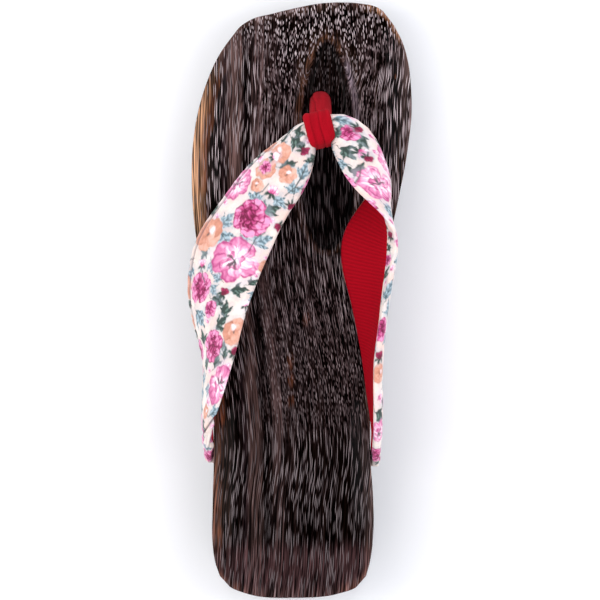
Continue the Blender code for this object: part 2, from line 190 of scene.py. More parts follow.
def sole_plan(columns, rows):
    """Points in plan over the whole outline, [row][column], blended from its four sides."""
    u, v = columns[None, :, None], rows[:, None, None]
    left, right = read_side(little_toe_rim, 1, rows), read_side(big_toe_rim, 1, rows)
    heel, toe = read_side(heel_rim, 0, columns), read_side(toe_rim, 0, columns)
    across = (1 - u) * left[:, None] + u * right[:, None]
    lengthways = (1 - v) * heel[None] + v * toe[None]
    low = (1 - u) * heel_rim[0] + u * heel_rim[-1]
    high = (1 - u) * toe_rim[-1] + u * toe_rim[0]
    return across + lengthways - (1 - v) * low - v * high


def new_piece(name, mesh):
    made = bpy.data.objects.new(name, mesh)
    bpy.context.scene.collection.objects.link(made)
    return made


def smooth_shaded(mesh, degrees=40):
    mesh.shade_smooth()
    mesh.set_sharp_from_angle(angle=math.radians(degrees))


def cylinder(name, radius, start, end, sides=64):
    """A round solid from one point to another."""
    start, end = Vector(start), Vector(end)
    built = bmesh.new()
    turn = (end - start).to_track_quat("Z", "Y").to_matrix().to_4x4()
    bmesh.ops.create_cone(
        built, cap_ends=True, segments=sides, radius1=radius, radius2=radius,
        depth=(end - start).length, matrix=Matrix.Translation((start + end) / 2) @ turn,
    )
    mesh = bpy.data.meshes.new(name)
    built.to_mesh(mesh)
    built.free()
    return new_piece(name, mesh)


def boolean(target, operation, other):
    modifier = target.modifiers.new(operation, "BOOLEAN")
    modifier.operation = operation
    modifier.object = other
    return other


def apply_modifiers(piece, helpers=()):
    """Gives the piece the mesh that its modifiers make, and removes them and their helpers."""
    graph = bpy.context.evaluated_depsgraph_get()
    mesh = bpy.data.meshes.new_from_object(piece.evaluated_get(graph))
    piece.modifiers.clear()
    piece.data = mesh
    for helper in helpers:
        bpy.data.objects.remove(helper)
    return mesh


def vertex_values(mesh, field="co"):
    """The vertices' places, or their normals."""
    flat = np.empty(len(mesh.vertices) * 3, np.float32)
    mesh.vertices.foreach_get(field, flat)
    return flat.reshape(-1, 3).astype(float)


def store(mesh, name, kind, values):
    """Keeps one value per vertex on the mesh: FLOAT, FLOAT_VECTOR or FLOAT_COLOR."""
    layer = mesh.attributes.new(name, kind, "POINT")
    values = np.asarray(values, np.float32)
    if kind == "FLOAT_COLOR":
        values = np.concatenate([values, np.ones((len(values), 1), np.float32)], 1)
    field = {"FLOAT": "value", "FLOAT_VECTOR": "vector", "FLOAT_COLOR": "color"}[kind]
    layer.data.foreach_set(field, values.ravel())


def linear(hex_colour):
    """An sRGB hex colour as linear RGB."""
    parts = [int(hex_colour[i:i + 2], 16) / 255 for i in (1, 3, 5)]
    return np.array([p / 12.92 if p <= 0.04045 else ((p + 0.055) / 1.055) ** 2.4 for p in parts])


def laid_over(ground, colour, cover):
    """A colour laid over painted values, as strongly as cover says."""
    cover = np.clip(cover, 0, 1)[:, None]
    return ground * (1 - cover) + np.asarray(colour) * cover


def new_material(name):
    made = bpy.data.materials.new(name)
    made.use_nodes = True
    return made, made.node_tree, made.node_tree.nodes["Principled BSDF"]


def node(tree, kind, settings=None, links=None):
    """Adds a shader node. Lower-case settings are its properties, the others are its sockets' values,
    and links are the sockets that feed its inputs."""
    made = tree.nodes.new("ShaderNode" + kind)
    for name, value in (settings or {}).items():
        if isinstance(name, str) and name.islower():
            setattr(made, name, value)
        else:
            made.inputs[name].default_value = value
    for name, socket in (links or {}).items():
        tree.links.new(socket, made.inputs[name])
    return made


def wooden_sole_mesh():
    """The footbed and the underside as fine grids over the outline, and the wall between them."""
    columns = np.concatenate([[0], np.linspace(0.066, 0.934, 96), [1]])
    rows = np.concatenate([[0], np.linspace(0.020, 0.983, 250), [1]])
    plan = sole_plan(columns, rows)
    x, y = plan[..., 0], plan[..., 1]
    across_reach = np.minimum(columns, 1 - columns) * BALL_WIDTH
    along_reach = np.minimum(rows, 1 - rows) * SOLE_LENGTH
    reach = np.minimum(across_reach[None, :], along_reach[:, None])
    top = footbed_height(y) - hollow_depth(x, y) - RIM_FALL * (1 - ease(reach / RIM_FALL_REACH))
    low = np.stack([x, y, underside_height(y)], -1).reshape(-1, 3)
    high = np.stack([x, y, top], -1).reshape(-1, 3)
    index = np.arange(len(low)).reshape(len(rows), len(columns))
    one, two, three, four = index[:-1, :-1], index[:-1, 1:], index[1:, 1:], index[1:, :-1]
    under = np.stack([one, four, three, two], -1).reshape(-1, 4)
    over = np.stack([one, two, three, four], -1).reshape(-1, 4) + len(low)
    rim = np.concatenate([index[0, :-1], index[:-1, -1], index[-1, :0:-1], index[:0:-1, 0]])
    levels = [low[rim] + (high[rim] - low[rim]) * share for share in WALL_COURSES]
    between = 2 * len(low) + np.arange(len(levels) * len(rim)).reshape(len(levels), -1)
    courses = [rim, *between, rim + len(low)]
    wall = [np.stack([below, np.roll(below, -1), np.roll(above, -1), above], 1)
            for below, above in zip(courses, courses[1:])]
    mesh = bpy.data.meshes.new("wooden_sole_dressed")
    mesh.from_pydata(np.vstack([low, high, *levels]).tolist(), [], np.vstack([under, over, *wall]).tolist())
    ends = np.empty(len(mesh.edges) * 2, np.int32)
    mesh.edges.foreach_get("vertices", ends)
    ends = ends.reshape(-1, 2)
    on_rim = np.zeros(len(mesh.vertices), int)
    on_rim[rim], on_rim[rim + len(low)] = 1, 2
    level = np.where(on_rim[ends[:, 0]] == on_rim[ends[:, 1]], on_rim[ends[:, 0]], 0)
    weights = np.choose(level, [0.0, FLOOR_EDGE_SHARE, 1.0]).astype(np.float32)
    mesh.attributes.new("bevel_weight_edge", "FLOAT", "EDGE").data.foreach_set("value", weights)
    return mesh


def socket_place(row_place, side_rim, side):
    """The mouth and the bottom of the hole in the sole's side that takes a strap's end."""
    wall_x = float(rim_at(side_rim, 1, row_place[1]))
    mouth, bottom = wall_x + side * SOCKET_RADIUS, wall_x - side * SOCKET_DEPTH
    return [(mouth, row_place[1], row_place[2]), (bottom, row_place[1], row_place[2])]


sole = new_piece("wooden_sole_dressed", wooden_sole_mesh())
rounding = sole.modifiers.new("rims", "BEVEL")
rounding.limit_method = "WEIGHT"
rounding.width = TOP_EDGE_RADIUS
rounding.segments = 5
# Where the strap's two ends and the toe loop go in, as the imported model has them
hole_x, hole_y = SOLE_SHIFT + THONG_ACROSS, SOLE_LENGTH / 2 - THONG_FROM_TOE
STRAP_LIFT, TAIL_LIFT_SHARE = 0.021, -0.57
OUTER_TAIL, INNER_TAIL = (-0.842, 0.238), (0.667, 0.233)
outer_end, inner_end = (
    (*sole_xy(*place), float(footbed_height(sole_xy(*place)[1])) + TAIL_LIFT_SHARE * STRAP_LIFT)
    for place in (OUTER_TAIL, INNER_TAIL)
)
cutters = [
    cylinder("thong_hole", THONG_HOLE_RADIUS, (hole_x, hole_y, -0.05), (hole_x, hole_y, 0.05)),
    cylinder(
        "knot_pocket", KNOT_POCKET_RADIUS, (hole_x, hole_y, -0.05), (hole_x, hole_y, KNOT_POCKET_DEPTH),
    ),
    cylinder("outer_socket", SOCKET_RADIUS, *socket_place(outer_end, little_toe_rim, -1)),
    cylinder("inner_socket", SOCKET_RADIUS, *socket_place(inner_end, big_toe_rim, 1)),
]
for cutter in cutters:
    boolean(sole, "DIFFERENCE", cutter)
sole_mesh = apply_modifiers(sole, cutters)
smooth_shaded(sole_mesh)

# Growth bands, in mm across the grain at the toe: from, to, colour, strength, and how soft each side is
RING_TILT = 0.55
GROWTH_BANDS = (
    (-45.0, -36.5, "#3f2a22", 0.45, 0.8, 2.0),
    (-34.7, -31.9, "#0d0706", 0.80, 0.8, 0.8),
    (-31.5, -29.6, "#332428", 0.60, 0.6, 0.6),
    (-29.4, -23.8, "#634b47", 0.85, 3.2, 0.3),
    (-23.6, -20.2, "#120a09", 0.60, 0.3, 1.2),
    (-19.4, -15.2, "#533f3d", 0.80, 1.6, 0.3),
    (-14.2, -9.5, "#271a18", 0.50, 1.0, 1.0),
    (-3.0, 1.5, "#1f1412", 0.40, 1.0, 1.5),
    (22.5, 24.2, "#251a18", 0.45, 0.8, 0.6),
    (29.0, 31.5, "#2a1e18", 0.40, 0.8, 0.8),
)
CHAR, HOLLOW_BLACK, DARK_BROWN, STIPPLE_BROWN, ORANGE_BROWN, TAN, PINK_EDGE, GLOSS_LILAC_GREY, PAINTED_HEEL_SHEEN = (
    linear(colour) for colour in (
        "#070302", "#050303", "#20130f", "#57392a", "#70402a", "#d8a47a", "#8f6c60", "#8c8290", "#53393a",
    )
)
# Worn places on the footbed, where the brush went through to brown wood: x, y and radius in mm
WORN_PLACES = (
    (2.4, -7.9, 1.6), (-4.0, -25.2, 2.0), (-3.7, -32.5, 1.7), (-3.7, -41.0, 1.5), (38.7, 90.1, 0.5),
    (40.3, 84.4, 0.5),
)
# Along the sole in mm, how far the strokes are the long kind, and how strongly they show
LONG_SHARE = (
    (-120, 1.0), (-62, 1.0), (-50, 0.7), (-42, 0.35), (-18, 0.45), (0, 0.7), (30, 0.9), (62, 0.9), (84, 0.45),
    (98, 0.0), (120, 0.0),
)
STROKE_STRENGTH = ((-120, 0.22), (-98, 0.22), (-88, 0.26), (-50, 0.42), (-10, 0.72), (60, 1.0))
# In mm: how far down the sides the rims are rubbed, and where the hollow's tip is
RUBBED_DOWN = 9
HOLLOW_TIP = (11.0, 92.0)


def within(value, low, high, soft):
    """1 between two values and 0 outside them, with soft sides."""
    return ease((value - low) / soft + 0.5) * ease((high - value) / soft + 0.5)


def rub_rims(ground, x, y, z, footbed, from_left, from_rim):
    """Rubs the char off the little toe's side and the corners of toe and heel. Returns the ground, and
    how far that side is rubbed to brown and to tan."""
    wander = 0.5 * np.sin(y / 9.0) + 0.35 * np.sin(y / 3.7 + 1) + 0.2 * np.sin(y / 1.9 + 2)
    high_up = ease((z - footbed + RUBBED_DOWN) / 6)
    brown = ease((6.2 + wander - from_left) / 0.8 + 0.5) * within(y, -20, 88, 26)
    brown = np.maximum(brown, ease((3.6 + wander - from_left) / 0.8 + 0.5) * within(y, -100, -20, 20))
    brown *= high_up
    ground = laid_over(ground, ORANGE_BROWN, 0.75 * brown)
    tan = ease((3.2 + 0.8 * wander - from_left) / 0.8 + 0.5) * within(y, -22, 84, 26) * high_up
    ground = laid_over(ground, TAN, 0.92 * tan)
    toe_corner = ease((3.2 + wander - from_rim) / 1.2) * within(x, 27, 42, 5) * within(y, 103, 122, 6)
    heel_corners = ease((2.2 + wander - from_rim) / 1.2) * ease((-106 - y) / 4) * ease((np.abs(x + 3) - 17) / 5)
    ground = laid_over(ground, ORANGE_BROWN, 0.85 * np.maximum(toe_corner, heel_corners) * high_up)
    ground = laid_over(ground, TAN, 0.40 * toe_corner * high_up * ease((1.8 - from_rim) / 1.2))
    ground = laid_over(ground, PINK_EDGE, 0.34 * ease((0.8 - from_rim) / 0.6) * ease((z - 22) / 4))
    return ground, brown, tan


def across_the_grain(x, y, ring, in_hollow):
    """Places across the grain, which parts round the hollow's tip, as round a knot, and slants a little
    across the waist."""
    beside, beyond = x - HOLLOW_TIP[0], y - HOLLOW_TIP[1]
    parted = beside * 16 / (beside**2 + np.maximum(beyond, 0) ** 2 + 9) * ease((beyond + 8) / 8)
    slanted = 0.045 * (y + 10) * within(y, -70, 10, 30)
    return ring - 1.4 * parted * (1 - in_hollow) + slanted + 0.6 * np.sin(y / 26)


def paint_wood(places):
    """At places on the sole: the ground's colour, how strongly the pale strokes show and how long they
    are, and the place across the grain."""
    x, y, z = places.T / MM
    footbed = footbed_height(places[:, 1]) / MM
    depth = hollow_depth(places[:, 0], places[:, 1]) / HOLLOW_DEPTH * (z > footbed - RUBBED_DOWN)
    ring = x - RING_TILT * (z + depth * HOLLOW_DEPTH / MM - BALL_HEIGHT / MM)
    from_left = x - rim_at(little_toe_rim, 1, places[:, 1]) / MM
    from_right = rim_at(big_toe_rim, 1, places[:, 1]) / MM - x
    from_heel = y - rim_at(heel_rim, 0, places[:, 0]) / MM
    from_toe = rim_at(toe_rim, 0, places[:, 0]) / MM - y
    from_rim = np.minimum.reduce([from_left, from_right, from_heel, from_toe])

    ground = np.tile(CHAR, (len(x), 1))
    for low, high, colour, strength, soft_low, soft_high in GROWTH_BANDS:
        band = ease((ring - low) / soft_low + 0.5) * ease((high - ring) / soft_high + 0.5)
        band *= strength * np.interp(y, (-60, 20), (0.52, 0.95))
        ground = laid_over(ground, linear(colour), band)
    ground, brown, tan = rub_rims(ground, x, y, z, footbed, from_left, from_rim)
    for worn_x, worn_y, radius in WORN_PLACES:
        off = np.hypot((x - worn_x) / radius, (y - worn_y) / (2.2 * radius))
        ground = laid_over(ground, ORANGE_BROWN, 0.45 * ease((1.1 - off) / 0.9))

    # A brown stippled margin goes round the hollow, wider at its tip, and the hollow itself is painted black: the char
    # is darker there, with painted shade down in the recess.
    margin = ease(depth / 0.2) * ease((0.50 - depth) / 0.25 + 0.5) * (0.30 + 0.60 * ease((y - 30) / 40))
    round_tip = ease(1.5 - 1.1 * np.hypot((x - HOLLOW_TIP[0]) / 11, (y - 90) / 17)) * ease((y - 72) / 14)
    stippled = np.maximum(margin, 0.55 * round_tip)
    ground = laid_over(ground, STIPPLE_BROWN, stippled)
    ground = laid_over(ground, HOLLOW_BLACK, 0.95 * ease((depth - 0.42) / 0.25))
    # A painted gloss: lilac-grey lines stand for the lacquer's reflection of the lights along the rounded right rim and
    # on the hollow's right wall.
    painted_gloss = np.exp(-(((from_right - 1.7) / 0.8) ** 2)) * (within(y, -95, -50, 12) + within(y, 68, 98, 10))
    painted_gloss += ease(depth / 0.2) * ease((0.6 - depth) / 0.3) * ease((x - 16) / 3) * within(y, 68, 97, 8)
    ground = laid_over(ground, GLOSS_LILAC_GREY, 0.62 * painted_gloss)
    # At the heel's end, a brownish painted sheen stands for the lacquer's reflection of the lights where the footbed
    # falls away.
    ground = laid_over(ground, PAINTED_HEEL_SHEEN, 0.50 * ease((-95 - y) / 9) * ease((z - 30) / 6))
    wall = ease((footbed - 3.2 - z) / 1.5) * (depth < 0.05)
    ground = laid_over(ground, DARK_BROWN, 0.55 * wall)

    in_hollow = ease((depth - 0.3) / 0.4)
    dashes = np.interp(y, *zip(*STROKE_STRENGTH)) * (1 - 0.75 * in_hollow) * (1 - 0.35 * stippled)
    dashes *= (1 - 0.9 * tan) * (1 - 0.7 * brown) * (1 - 0.45 * within(ring, -31, -21, 3))
    sides = np.interp(np.abs(x - 8), (14, 28), (0, 1)) * ease((110 - y) / 14)
    long_share = np.maximum(np.interp(y, *zip(*LONG_SHARE)), sides)
    return ground, np.clip(dashes, 0, 1), long_share, across_the_grain(x, y, ring, in_hollow)


sole_places = vertex_values(sole_mesh)
ground, dashes, long_share, across_grain = paint_wood(sole_places)
store(sole_mesh, "ground", "FLOAT_COLOR", ground)
store(sole_mesh, "dashes", "FLOAT", dashes)
store(sole_mesh, "long strokes", "FLOAT", long_share)
# Places across and along the grain in mm, as the footbed, the sides and the two ends show it. The
# numbers added keep the three patterns apart.
along, height = sole_places[:, 1] / MM, sole_places[:, 2] / MM
for name, columns in (
    ("grain", (across_grain, along, 0.2 * height)),
    ("side grain", (height + 300, along, 0 * along)),
    ("end grain", (across_grain + 600, 3 * height, 0 * along)),
):
    store(sole_mesh, name, "FLOAT_VECTOR", np.stack(columns, 1))

# Paulownia, scorched, wire-brushed and lacquered: pale strokes some 0.3 mm wide and 2 to 12 mm long
# where a vessel opens on the surface, fine fibre streaks between them, and a thin clear gloss over all.
charred_wood, tree, shader = new_material("charred lacquered paulownia")
over, aside, endways = (
    node(tree, "Attribute", {"attribute_name": name}).outputs["Vector"]
    for name in ("grain", "side grain", "end grain")
)
# The sides show the grain by height, and the two ends show it cut across.
normal = node(tree, "NewGeometry").outputs["True Normal"]
facing = node(tree, "VectorMath", {"operation": "ABSOLUTE"}, {0: normal})
facing = node(tree, "SeparateXYZ", {}, {0: facing.outputs[0]})
on_side = node(tree, "Math", {"operation": "LESS_THAN", 1: 0.6}, {0: facing.outputs[2]}).outputs[0]
on_end = node(tree, "Math", {"operation": "GREATER_THAN", 1: 0.75}, {0: facing.outputs[1]}).outputs[0]
along_grain = node(tree, "Mix", {"data_type": "VECTOR"}, {0: on_side, 4: over, 5: aside}).outputs[1]
along_grain = node(tree, "Mix", {"data_type": "VECTOR"}, {0: on_end, 4: along_grain, 5: endways}).outputs[1]
painted = node(tree, "Attribute", {"attribute_name": "ground"}).outputs["Color"]
dash_strength = node(tree, "Attribute", {"attribute_name": "dashes"}).outputs["Fac"]
long_kind = node(tree, "Attribute", {"attribute_name": "long strokes"}).outputs["Fac"]
bends = node(tree, "TexNoise", {"Scale": 0.06, "Detail": 0.0}, {"Vector": along_grain}).outputs["Color"]
bent_grain = node(
    tree, "VectorMath", {"operation": "MULTIPLY_ADD", 1: (0.5, 2.0, 0.0)}, {0: bends, 2: along_grain},
).outputs[0]


def grain_noise(tree, across_mm, along_mm, detail, low, high, to=(0.0, 1.0)):
    """Noise stretched along the grain, with features this far apart, spread from low and high."""
    across, along = 1.9 / across_mm, 1.9 / along_mm
    scaled = node(tree, "VectorMath", {"operation": "MULTIPLY", 1: (across, along, across)}, {0: along_grain})
    noise = node(tree, "TexNoise", {"Scale": 1.0, "Detail": detail}, {"Vector": scaled.outputs[0]})
    spread = {"From Min": low, "From Max": high, "To Min": to[0], "To Max": to[1]}
    return node(tree, "MapRange", spread, {"Value": noise.outputs[0]}).outputs[0]


def strokes(tree, spacing_mm, length_mm, half_width, bare, offset):
    """Thin strokes in files along the grain: their files' spacing, their longest length, their half
    width as a share of the spacing, and the share of cells left bare. Each file starts at its own place,
    and each stroke has its own chance place and strength. The offset keeps every place above zero,
    because a cell numbered minus zero would draw its own chance. Returns how strongly they show."""
    scale = (1 / spacing_mm, 1 / length_mm, 0.0)
    scaled = node(
        tree, "VectorMath", {"operation": "MULTIPLY_ADD", 1: scale, 2: (offset,) * 3}, {0: bent_grain},
    ).outputs[0]
    cell = node(tree, "VectorMath", {"operation": "FLOOR"}, {0: scaled}).outputs[0]
    file_number = node(tree, "VectorMath", {"operation": "MULTIPLY", 1: (1.0, 0.0, 1.0)}, {0: cell}).outputs[0]
    start = node(tree, "TexWhiteNoise", {}, {"Vector": file_number}).outputs["Color"]
    staggered = node(
        tree, "VectorMath", {"operation": "MULTIPLY_ADD", 1: (0.0, 9.0, 0.0)}, {0: start, 2: scaled},
    ).outputs[0]
    cell = node(tree, "VectorMath", {"operation": "FLOOR"}, {0: staggered}).outputs[0]
    chance = node(tree, "TexWhiteNoise", {}, {"Vector": cell})
    centre = node(
        tree, "VectorMath", {"operation": "MULTIPLY_ADD", 1: (0.40, 0.16, 0.0), 2: (0.30, 0.42, 0.0)},
        {0: chance.outputs["Color"]},
    ).outputs[0]
    in_cell = node(tree, "VectorMath", {"operation": "FRACTION"}, {0: staggered}).outputs[0]
    off = node(tree, "VectorMath", {"operation": "SUBTRACT"}, {0: in_cell, 1: centre}).outputs[0]
    sizes = (1 / half_width, 1 / 0.40, 0.0)
    off = node(tree, "VectorMath", {"operation": "MULTIPLY", 1: sizes}, {0: off}).outputs[0]
    reach = node(tree, "VectorMath", {"operation": "LENGTH"}, {0: off}).outputs["Value"]
    body = node(tree, "MapRange", {"From Min": 1.0, "From Max": 0.55}, {"Value": reach}).outputs[0]
    strength = node(
        tree, "MapRange", {"From Min": bare, "From Max": bare + 0.40}, {"Value": chance.outputs["Value"]},
    ).outputs[0]
    return node(tree, "Math", {"operation": "MULTIPLY"}, {0: body, 1: strength}).outputs[0]


SHORT_STROKES = (0.60, 2.3, 0.31, 0.44, 200.0), (0.56, 4.0, 0.31, 0.52, 231.7)
LONG_STROKES = (0.60, 8.5, 0.27, 0.36, 307.3), (0.66, 16.0, 0.25, 0.44, 353.1)
short_dashes, long_dashes = (
    node(tree, "Math", {"operation": "MAXIMUM"}, {i: strokes(tree, *row) for i, row in enumerate(rows)}).outputs[0]
    for rows in (SHORT_STROKES, LONG_STROKES)
)
fibre = grain_noise(tree, 1.15, 70.0, 2.0, 0.38, 0.64, (0.08, 1.5))
fine_fibre = grain_noise(tree, 0.70, 30.0, 1.0, 0.40, 0.60, (0.35, 1.3))
cloudy = grain_noise(tree, 6.0, 30.0, 2.0, 0.32, 0.68, (0.62, 1.0))
streaked = node(tree, "VectorMath", {"operation": "SCALE"}, {0: painted, "Scale": fibre})
streaked = node(tree, "VectorMath", {"operation": "SCALE"}, {0: streaked.outputs[0], "Scale": fine_fibre})
vessels = node(tree, "Mix", {}, {0: long_kind, 2: short_dashes, 3: long_dashes}).outputs[0]
shown = node(tree, "Math", {"operation": "MULTIPLY"}, {0: vessels, 1: dash_strength}).outputs[0]
shown = node(tree, "Math", {"operation": "MULTIPLY"}, {0: shown, 1: cloudy}).outputs[0]
dash_colour = node(
    tree, "Mix", {"data_type": "RGBA", 6: (*linear("#80585a"), 1), 7: (*linear("#dccbcd"), 1)}, {0: vessels},
)
finished = node(tree, "Mix", {"data_type": "RGBA"}, {0: shown, 6: streaked.outputs[0], 7: dash_colour.outputs[2]})
relief = node(tree, "Math", {"operation": "MULTIPLY_ADD", 1: 0.25}, {0: fibre, 2: vessels})
brushed = node(tree, "Bump", {"Strength": 0.3, "Distance": 0.08 * MM}, {"Height": relief.outputs[0]})
tree.links.new(finished.outputs[2], shader.inputs["Base Color"])
tree.links.new(brushed.outputs[0], shader.inputs["Normal"])
shader.inputs["Roughness"].default_value = 0.5
shader.inputs["Specular IOR Level"].default_value = 0.0
shader.inputs["Coat Weight"].default_value = 0.05
shader.inputs["Coat Roughness"].default_value = 0.08
sole_mesh.materials.clear()
sole_mesh.materials.append(charred_wood)
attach(sole, "root")
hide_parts("wooden_sole")

# ---- The strap -------------------------------------------------------------------------------
# One padded band from the sole's outer side over the toes to its inner side, pinched where the toe
# loop holds it. A printed cotton cover is sewn over a thin pad, turned over both edges and gathered
# into a tail at each end. The cover is a strip of fine cells, so that its print can be painted on it.
STRAP_WIDTH = 0.033
STRAP_THICKNESS = 0.0043
STRAP_COLUMNS = "across", "along", "lift", "chord", "tilt", "crown", "thick"
STRAP = (
    (-0.842, 0.238, -0.57, 0.22, 90, 0.00, 0.68),
    (-0.850, 0.254, -0.36, 0.32, 90, 0.00, 0.85),
    (-0.856, 0.272, -0.10, 0.45, 90, 0.00, 0.96),
    (-0.860, 0.298, 0.19, 0.58, 86, 0.01, 1.00),
    (-0.822, 0.328, 0.43, 0.67, 76, 0.04, 1.00),
    (-0.776, 0.368, 0.57, 0.76, 71, 0.06, 1.00),
    (-0.748, 0.404, 0.64, 0.85, 66, 0.07, 1.00),
    (-0.744, 0.441, 0.69, 0.91, 58, 0.08, 1.00),
    (-0.744, 0.476, 0.71, 0.95, 48, 0.08, 1.00),
    (-0.742, 0.518, 0.72, 1.00, 34, 0.08, 1.00),
    (-0.668, 0.578, 0.76, 1.00, 28, 0.09, 1.00),
    (-0.546, 0.614, 0.80, 0.95, 27, 0.10, 1.00),
    (-0.436, 0.649, 0.85, 0.88, 27, 0.11, 1.00),
    (-0.336, 0.679, 0.90, 0.83, 26, 0.12, 1.05),
    (-0.209, 0.705, 0.95, 0.76, 24, 0.12, 1.15),
    (-0.114, 0.728, 0.98, 0.66, 22, 0.10, 1.35),
    (-0.028, 0.756, 1.00, 0.46, 20, 0.05, 1.60),
    (0.048, 0.780, 1.00, 0.31, 18, 0.01, 1.80),
    (0.164, 0.783, 1.00, 0.29, 18, 0.00, 1.85),
    (0.280, 0.791, 1.00, 0.31, 18, 0.01, 1.80),
    (0.400, 0.778, 1.00, 0.50, 22, 0.12, 1.50),
    (0.518, 0.742, 0.98, 0.66, 37, 0.21, 1.22),
    (0.572, 0.705, 0.95, 0.72, 56, 0.24, 1.08),
    (0.594, 0.674, 0.91, 0.75, 84, 0.24, 1.00),
    (0.610, 0.648, 0.87, 0.79, 111, 0.20, 1.00),
    (0.622, 0.623, 0.81, 0.86, 131, 0.15, 1.00),
    (0.608, 0.596, 0.77, 0.93, 138, 0.12, 1.00),
    (0.605, 0.558, 0.76, 0.95, 133, 0.11, 1.00),
    (0.618, 0.516, 0.77, 0.92, 121, 0.11, 1.00),
    (0.615, 0.467, 0.74, 0.88, 111, 0.10, 1.00),
    (0.620, 0.427, 0.71, 0.83, 105, 0.08, 1.00),
    (0.626, 0.368, 0.61, 0.72, 99, 0.06, 1.00),
    (0.652, 0.311, 0.49, 0.60, 94, 0.04, 1.00),
    (0.676, 0.276, 0.14, 0.52, 91, 0.01, 0.94),
    (0.670, 0.252, -0.24, 0.37, 90, 0.00, 0.80),
    (0.667, 0.233, -0.57, 0.23, 90, 0.00, 0.68),
)
LOOP_ROW = 18


def spline_at(at, values):
    """A cubic B-spline over control values one apart, read at these places along them."""
    padded = np.concatenate([[2 * values[0] - values[1]], values, [2 * values[-1] - values[-2]]])
    at = np.asarray(at, float)
    i = np.clip(np.floor(at), 0, len(values) - 2).astype(int)
    t = at - i
    weights = (1 - t) ** 3, 3 * t**3 - 6 * t**2 + 4, 1 + 3 * t + 3 * t**2 - 3 * t**3, t**3
    reach = np.minimum(i + 3, len(padded) - 1)
    values = padded[i], padded[i + 1], padded[i + 2], padded[reach]
    return sum(weight * value for weight, value in zip(weights, values)) / 6


def strap_sections(at):
    """The strap's sections at these rows of STRAP: where each is, how it stands, and its sizes."""
    table = {name: np.array(column, float) for name, column in zip(STRAP_COLUMNS, zip(*STRAP))}
    x, y = sole_xy(table["across"], table["along"])
    rows = x, y, footbed_height(y) + table["lift"] * STRAP_LIFT

    def middle_at(places):
        return np.stack([spline_at(places, axis) for axis in rows], 1)

    at = np.asarray(at, float)
    forward = middle_at(np.minimum(at + 0.8, len(STRAP) - 1)) - middle_at(np.maximum(at - 0.8, 0))
    forward /= np.linalg.norm(forward, axis=1)[:, None]
    outward = np.cross((0, 0, 1), forward)
    outward /= np.linalg.norm(outward, axis=1)[:, None]
    up = np.cross(forward, outward)
    tilt = np.radians(spline_at(at, table["tilt"]))[:, None]
    return {
        "middle": middle_at(at),
        "forward": forward,
        "inward": up * np.sin(tilt) - outward * np.cos(tilt),
        "face": up * np.cos(tilt) + outward * np.sin(tilt),
        "chord": spline_at(at, table["chord"]) * STRAP_WIDTH,
        "crown": spline_at(at, table["crown"]) * STRAP_WIDTH,
        "thick": spline_at(at, table["thick"]) * STRAP_THICKNESS,
    }


def section_curve(angle, chord, crown, thick, grow=0.0):
    """Places on a strap section, along its chord and off its face."""
    flat = np.sign(np.cos(angle)) * np.abs(np.cos(angle)) ** 0.75
    high = np.sign(np.sin(angle)) * np.abs(np.sin(angle)) ** 0.60
    return flat * (chord / 2 + grow), crown * (1 - flat**2) + high * (thick / 2 + grow)


def even_rows(count):
    """Rows of STRAP that are evenly far apart along its middle, and the distance travelled."""
    at = np.linspace(0, len(STRAP) - 1, 4000)
    steps = np.linalg.norm(np.diff(strap_sections(at)["middle"], axis=0), axis=1)
    travelled = np.concatenate([[0], np.cumsum(steps)])
    even = np.linspace(0, travelled[-1], count)
    return np.interp(even, travelled, at), even


def band_of(stations, points, first_angle, last_angle, face_angle):
    """A strip of the strap's surface, [station][point]. Returns its places, the distance along and across the cloth,
    and the share across from edge to edge."""
    at, travelled = even_rows(stations)
    sections = strap_sections(at)
    first, last = first_angle + 0 * at, last_angle + 0 * at
    places = np.empty((stations, points, 3))
    across = np.empty((stations, points))
    share = np.empty((stations, points))
    for i in range(stations):
        fine = np.linspace(first[i], last[i], 500)
        sizes = [sections[name][i] for name in ("chord", "crown", "thick")]
        chordwise, off_face = section_curve(fine, *sizes)
        steps = np.hypot(np.diff(chordwise), np.diff(off_face))
        length = np.concatenate([[0], np.cumsum(steps)])
        even = np.linspace(0, length[-1], points)
        chordwise, off_face = np.interp(even, length, chordwise), np.interp(even, length, off_face)
        places[i] = (
            sections["middle"][i] + chordwise[:, None] * sections["inward"][i]
            + off_face[:, None] * sections["face"][i]
        )
        across[i] = np.interp(face_angle, fine, length) - even
        share[i] = chordwise / (sizes[0] / 2)
    return places, np.repeat(travelled[:, None], points, 1), across, share, sections


def surface_normals(places):
    along, across = np.gradient(places, axis=0), np.gradient(places, axis=1)
    normals = np.cross(along, across)
    return normals / np.maximum(np.linalg.norm(normals, axis=2), 1e-12)[..., None]


def grid_mesh(name, places, flip=False):
    """A mesh over a grid of places, [row][column]."""
    rows, columns = places.shape[:2]
    index = np.arange(rows * columns).reshape(rows, columns)
    corners = [index[:-1, :-1], index[:-1, 1:], index[1:, 1:], index[1:, :-1]]
    faces = np.stack(corners[::-1] if flip else corners, -1).reshape(-1, 4)
    mesh = bpy.data.meshes.new(name)
    mesh.from_pydata(places.reshape(-1, 3).tolist(), [], faces.tolist())
    mesh.shade_smooth()
    return mesh


# The cover goes from just inside the strap's inner edge, over its outer face, to its outer edge.
COVER_STATIONS, COVER_POINTS = 880, 104
TURNOVER_ROWS = (0, 2, 4, 7, 22, 24, 26, 28, 30, 32, 33, 35)
TURNOVER = (1.45, 1.35, 0.90, 0.58, 0.60, 0.95, 1.12, 1.10, 0.85, 0.70, 1.10, 1.45)


def turned_over(stations):
    """How far round the inner edge the cover goes, as an angle on the strap's section."""
    return np.interp(even_rows(stations)[0], TURNOVER_ROWS, TURNOVER)


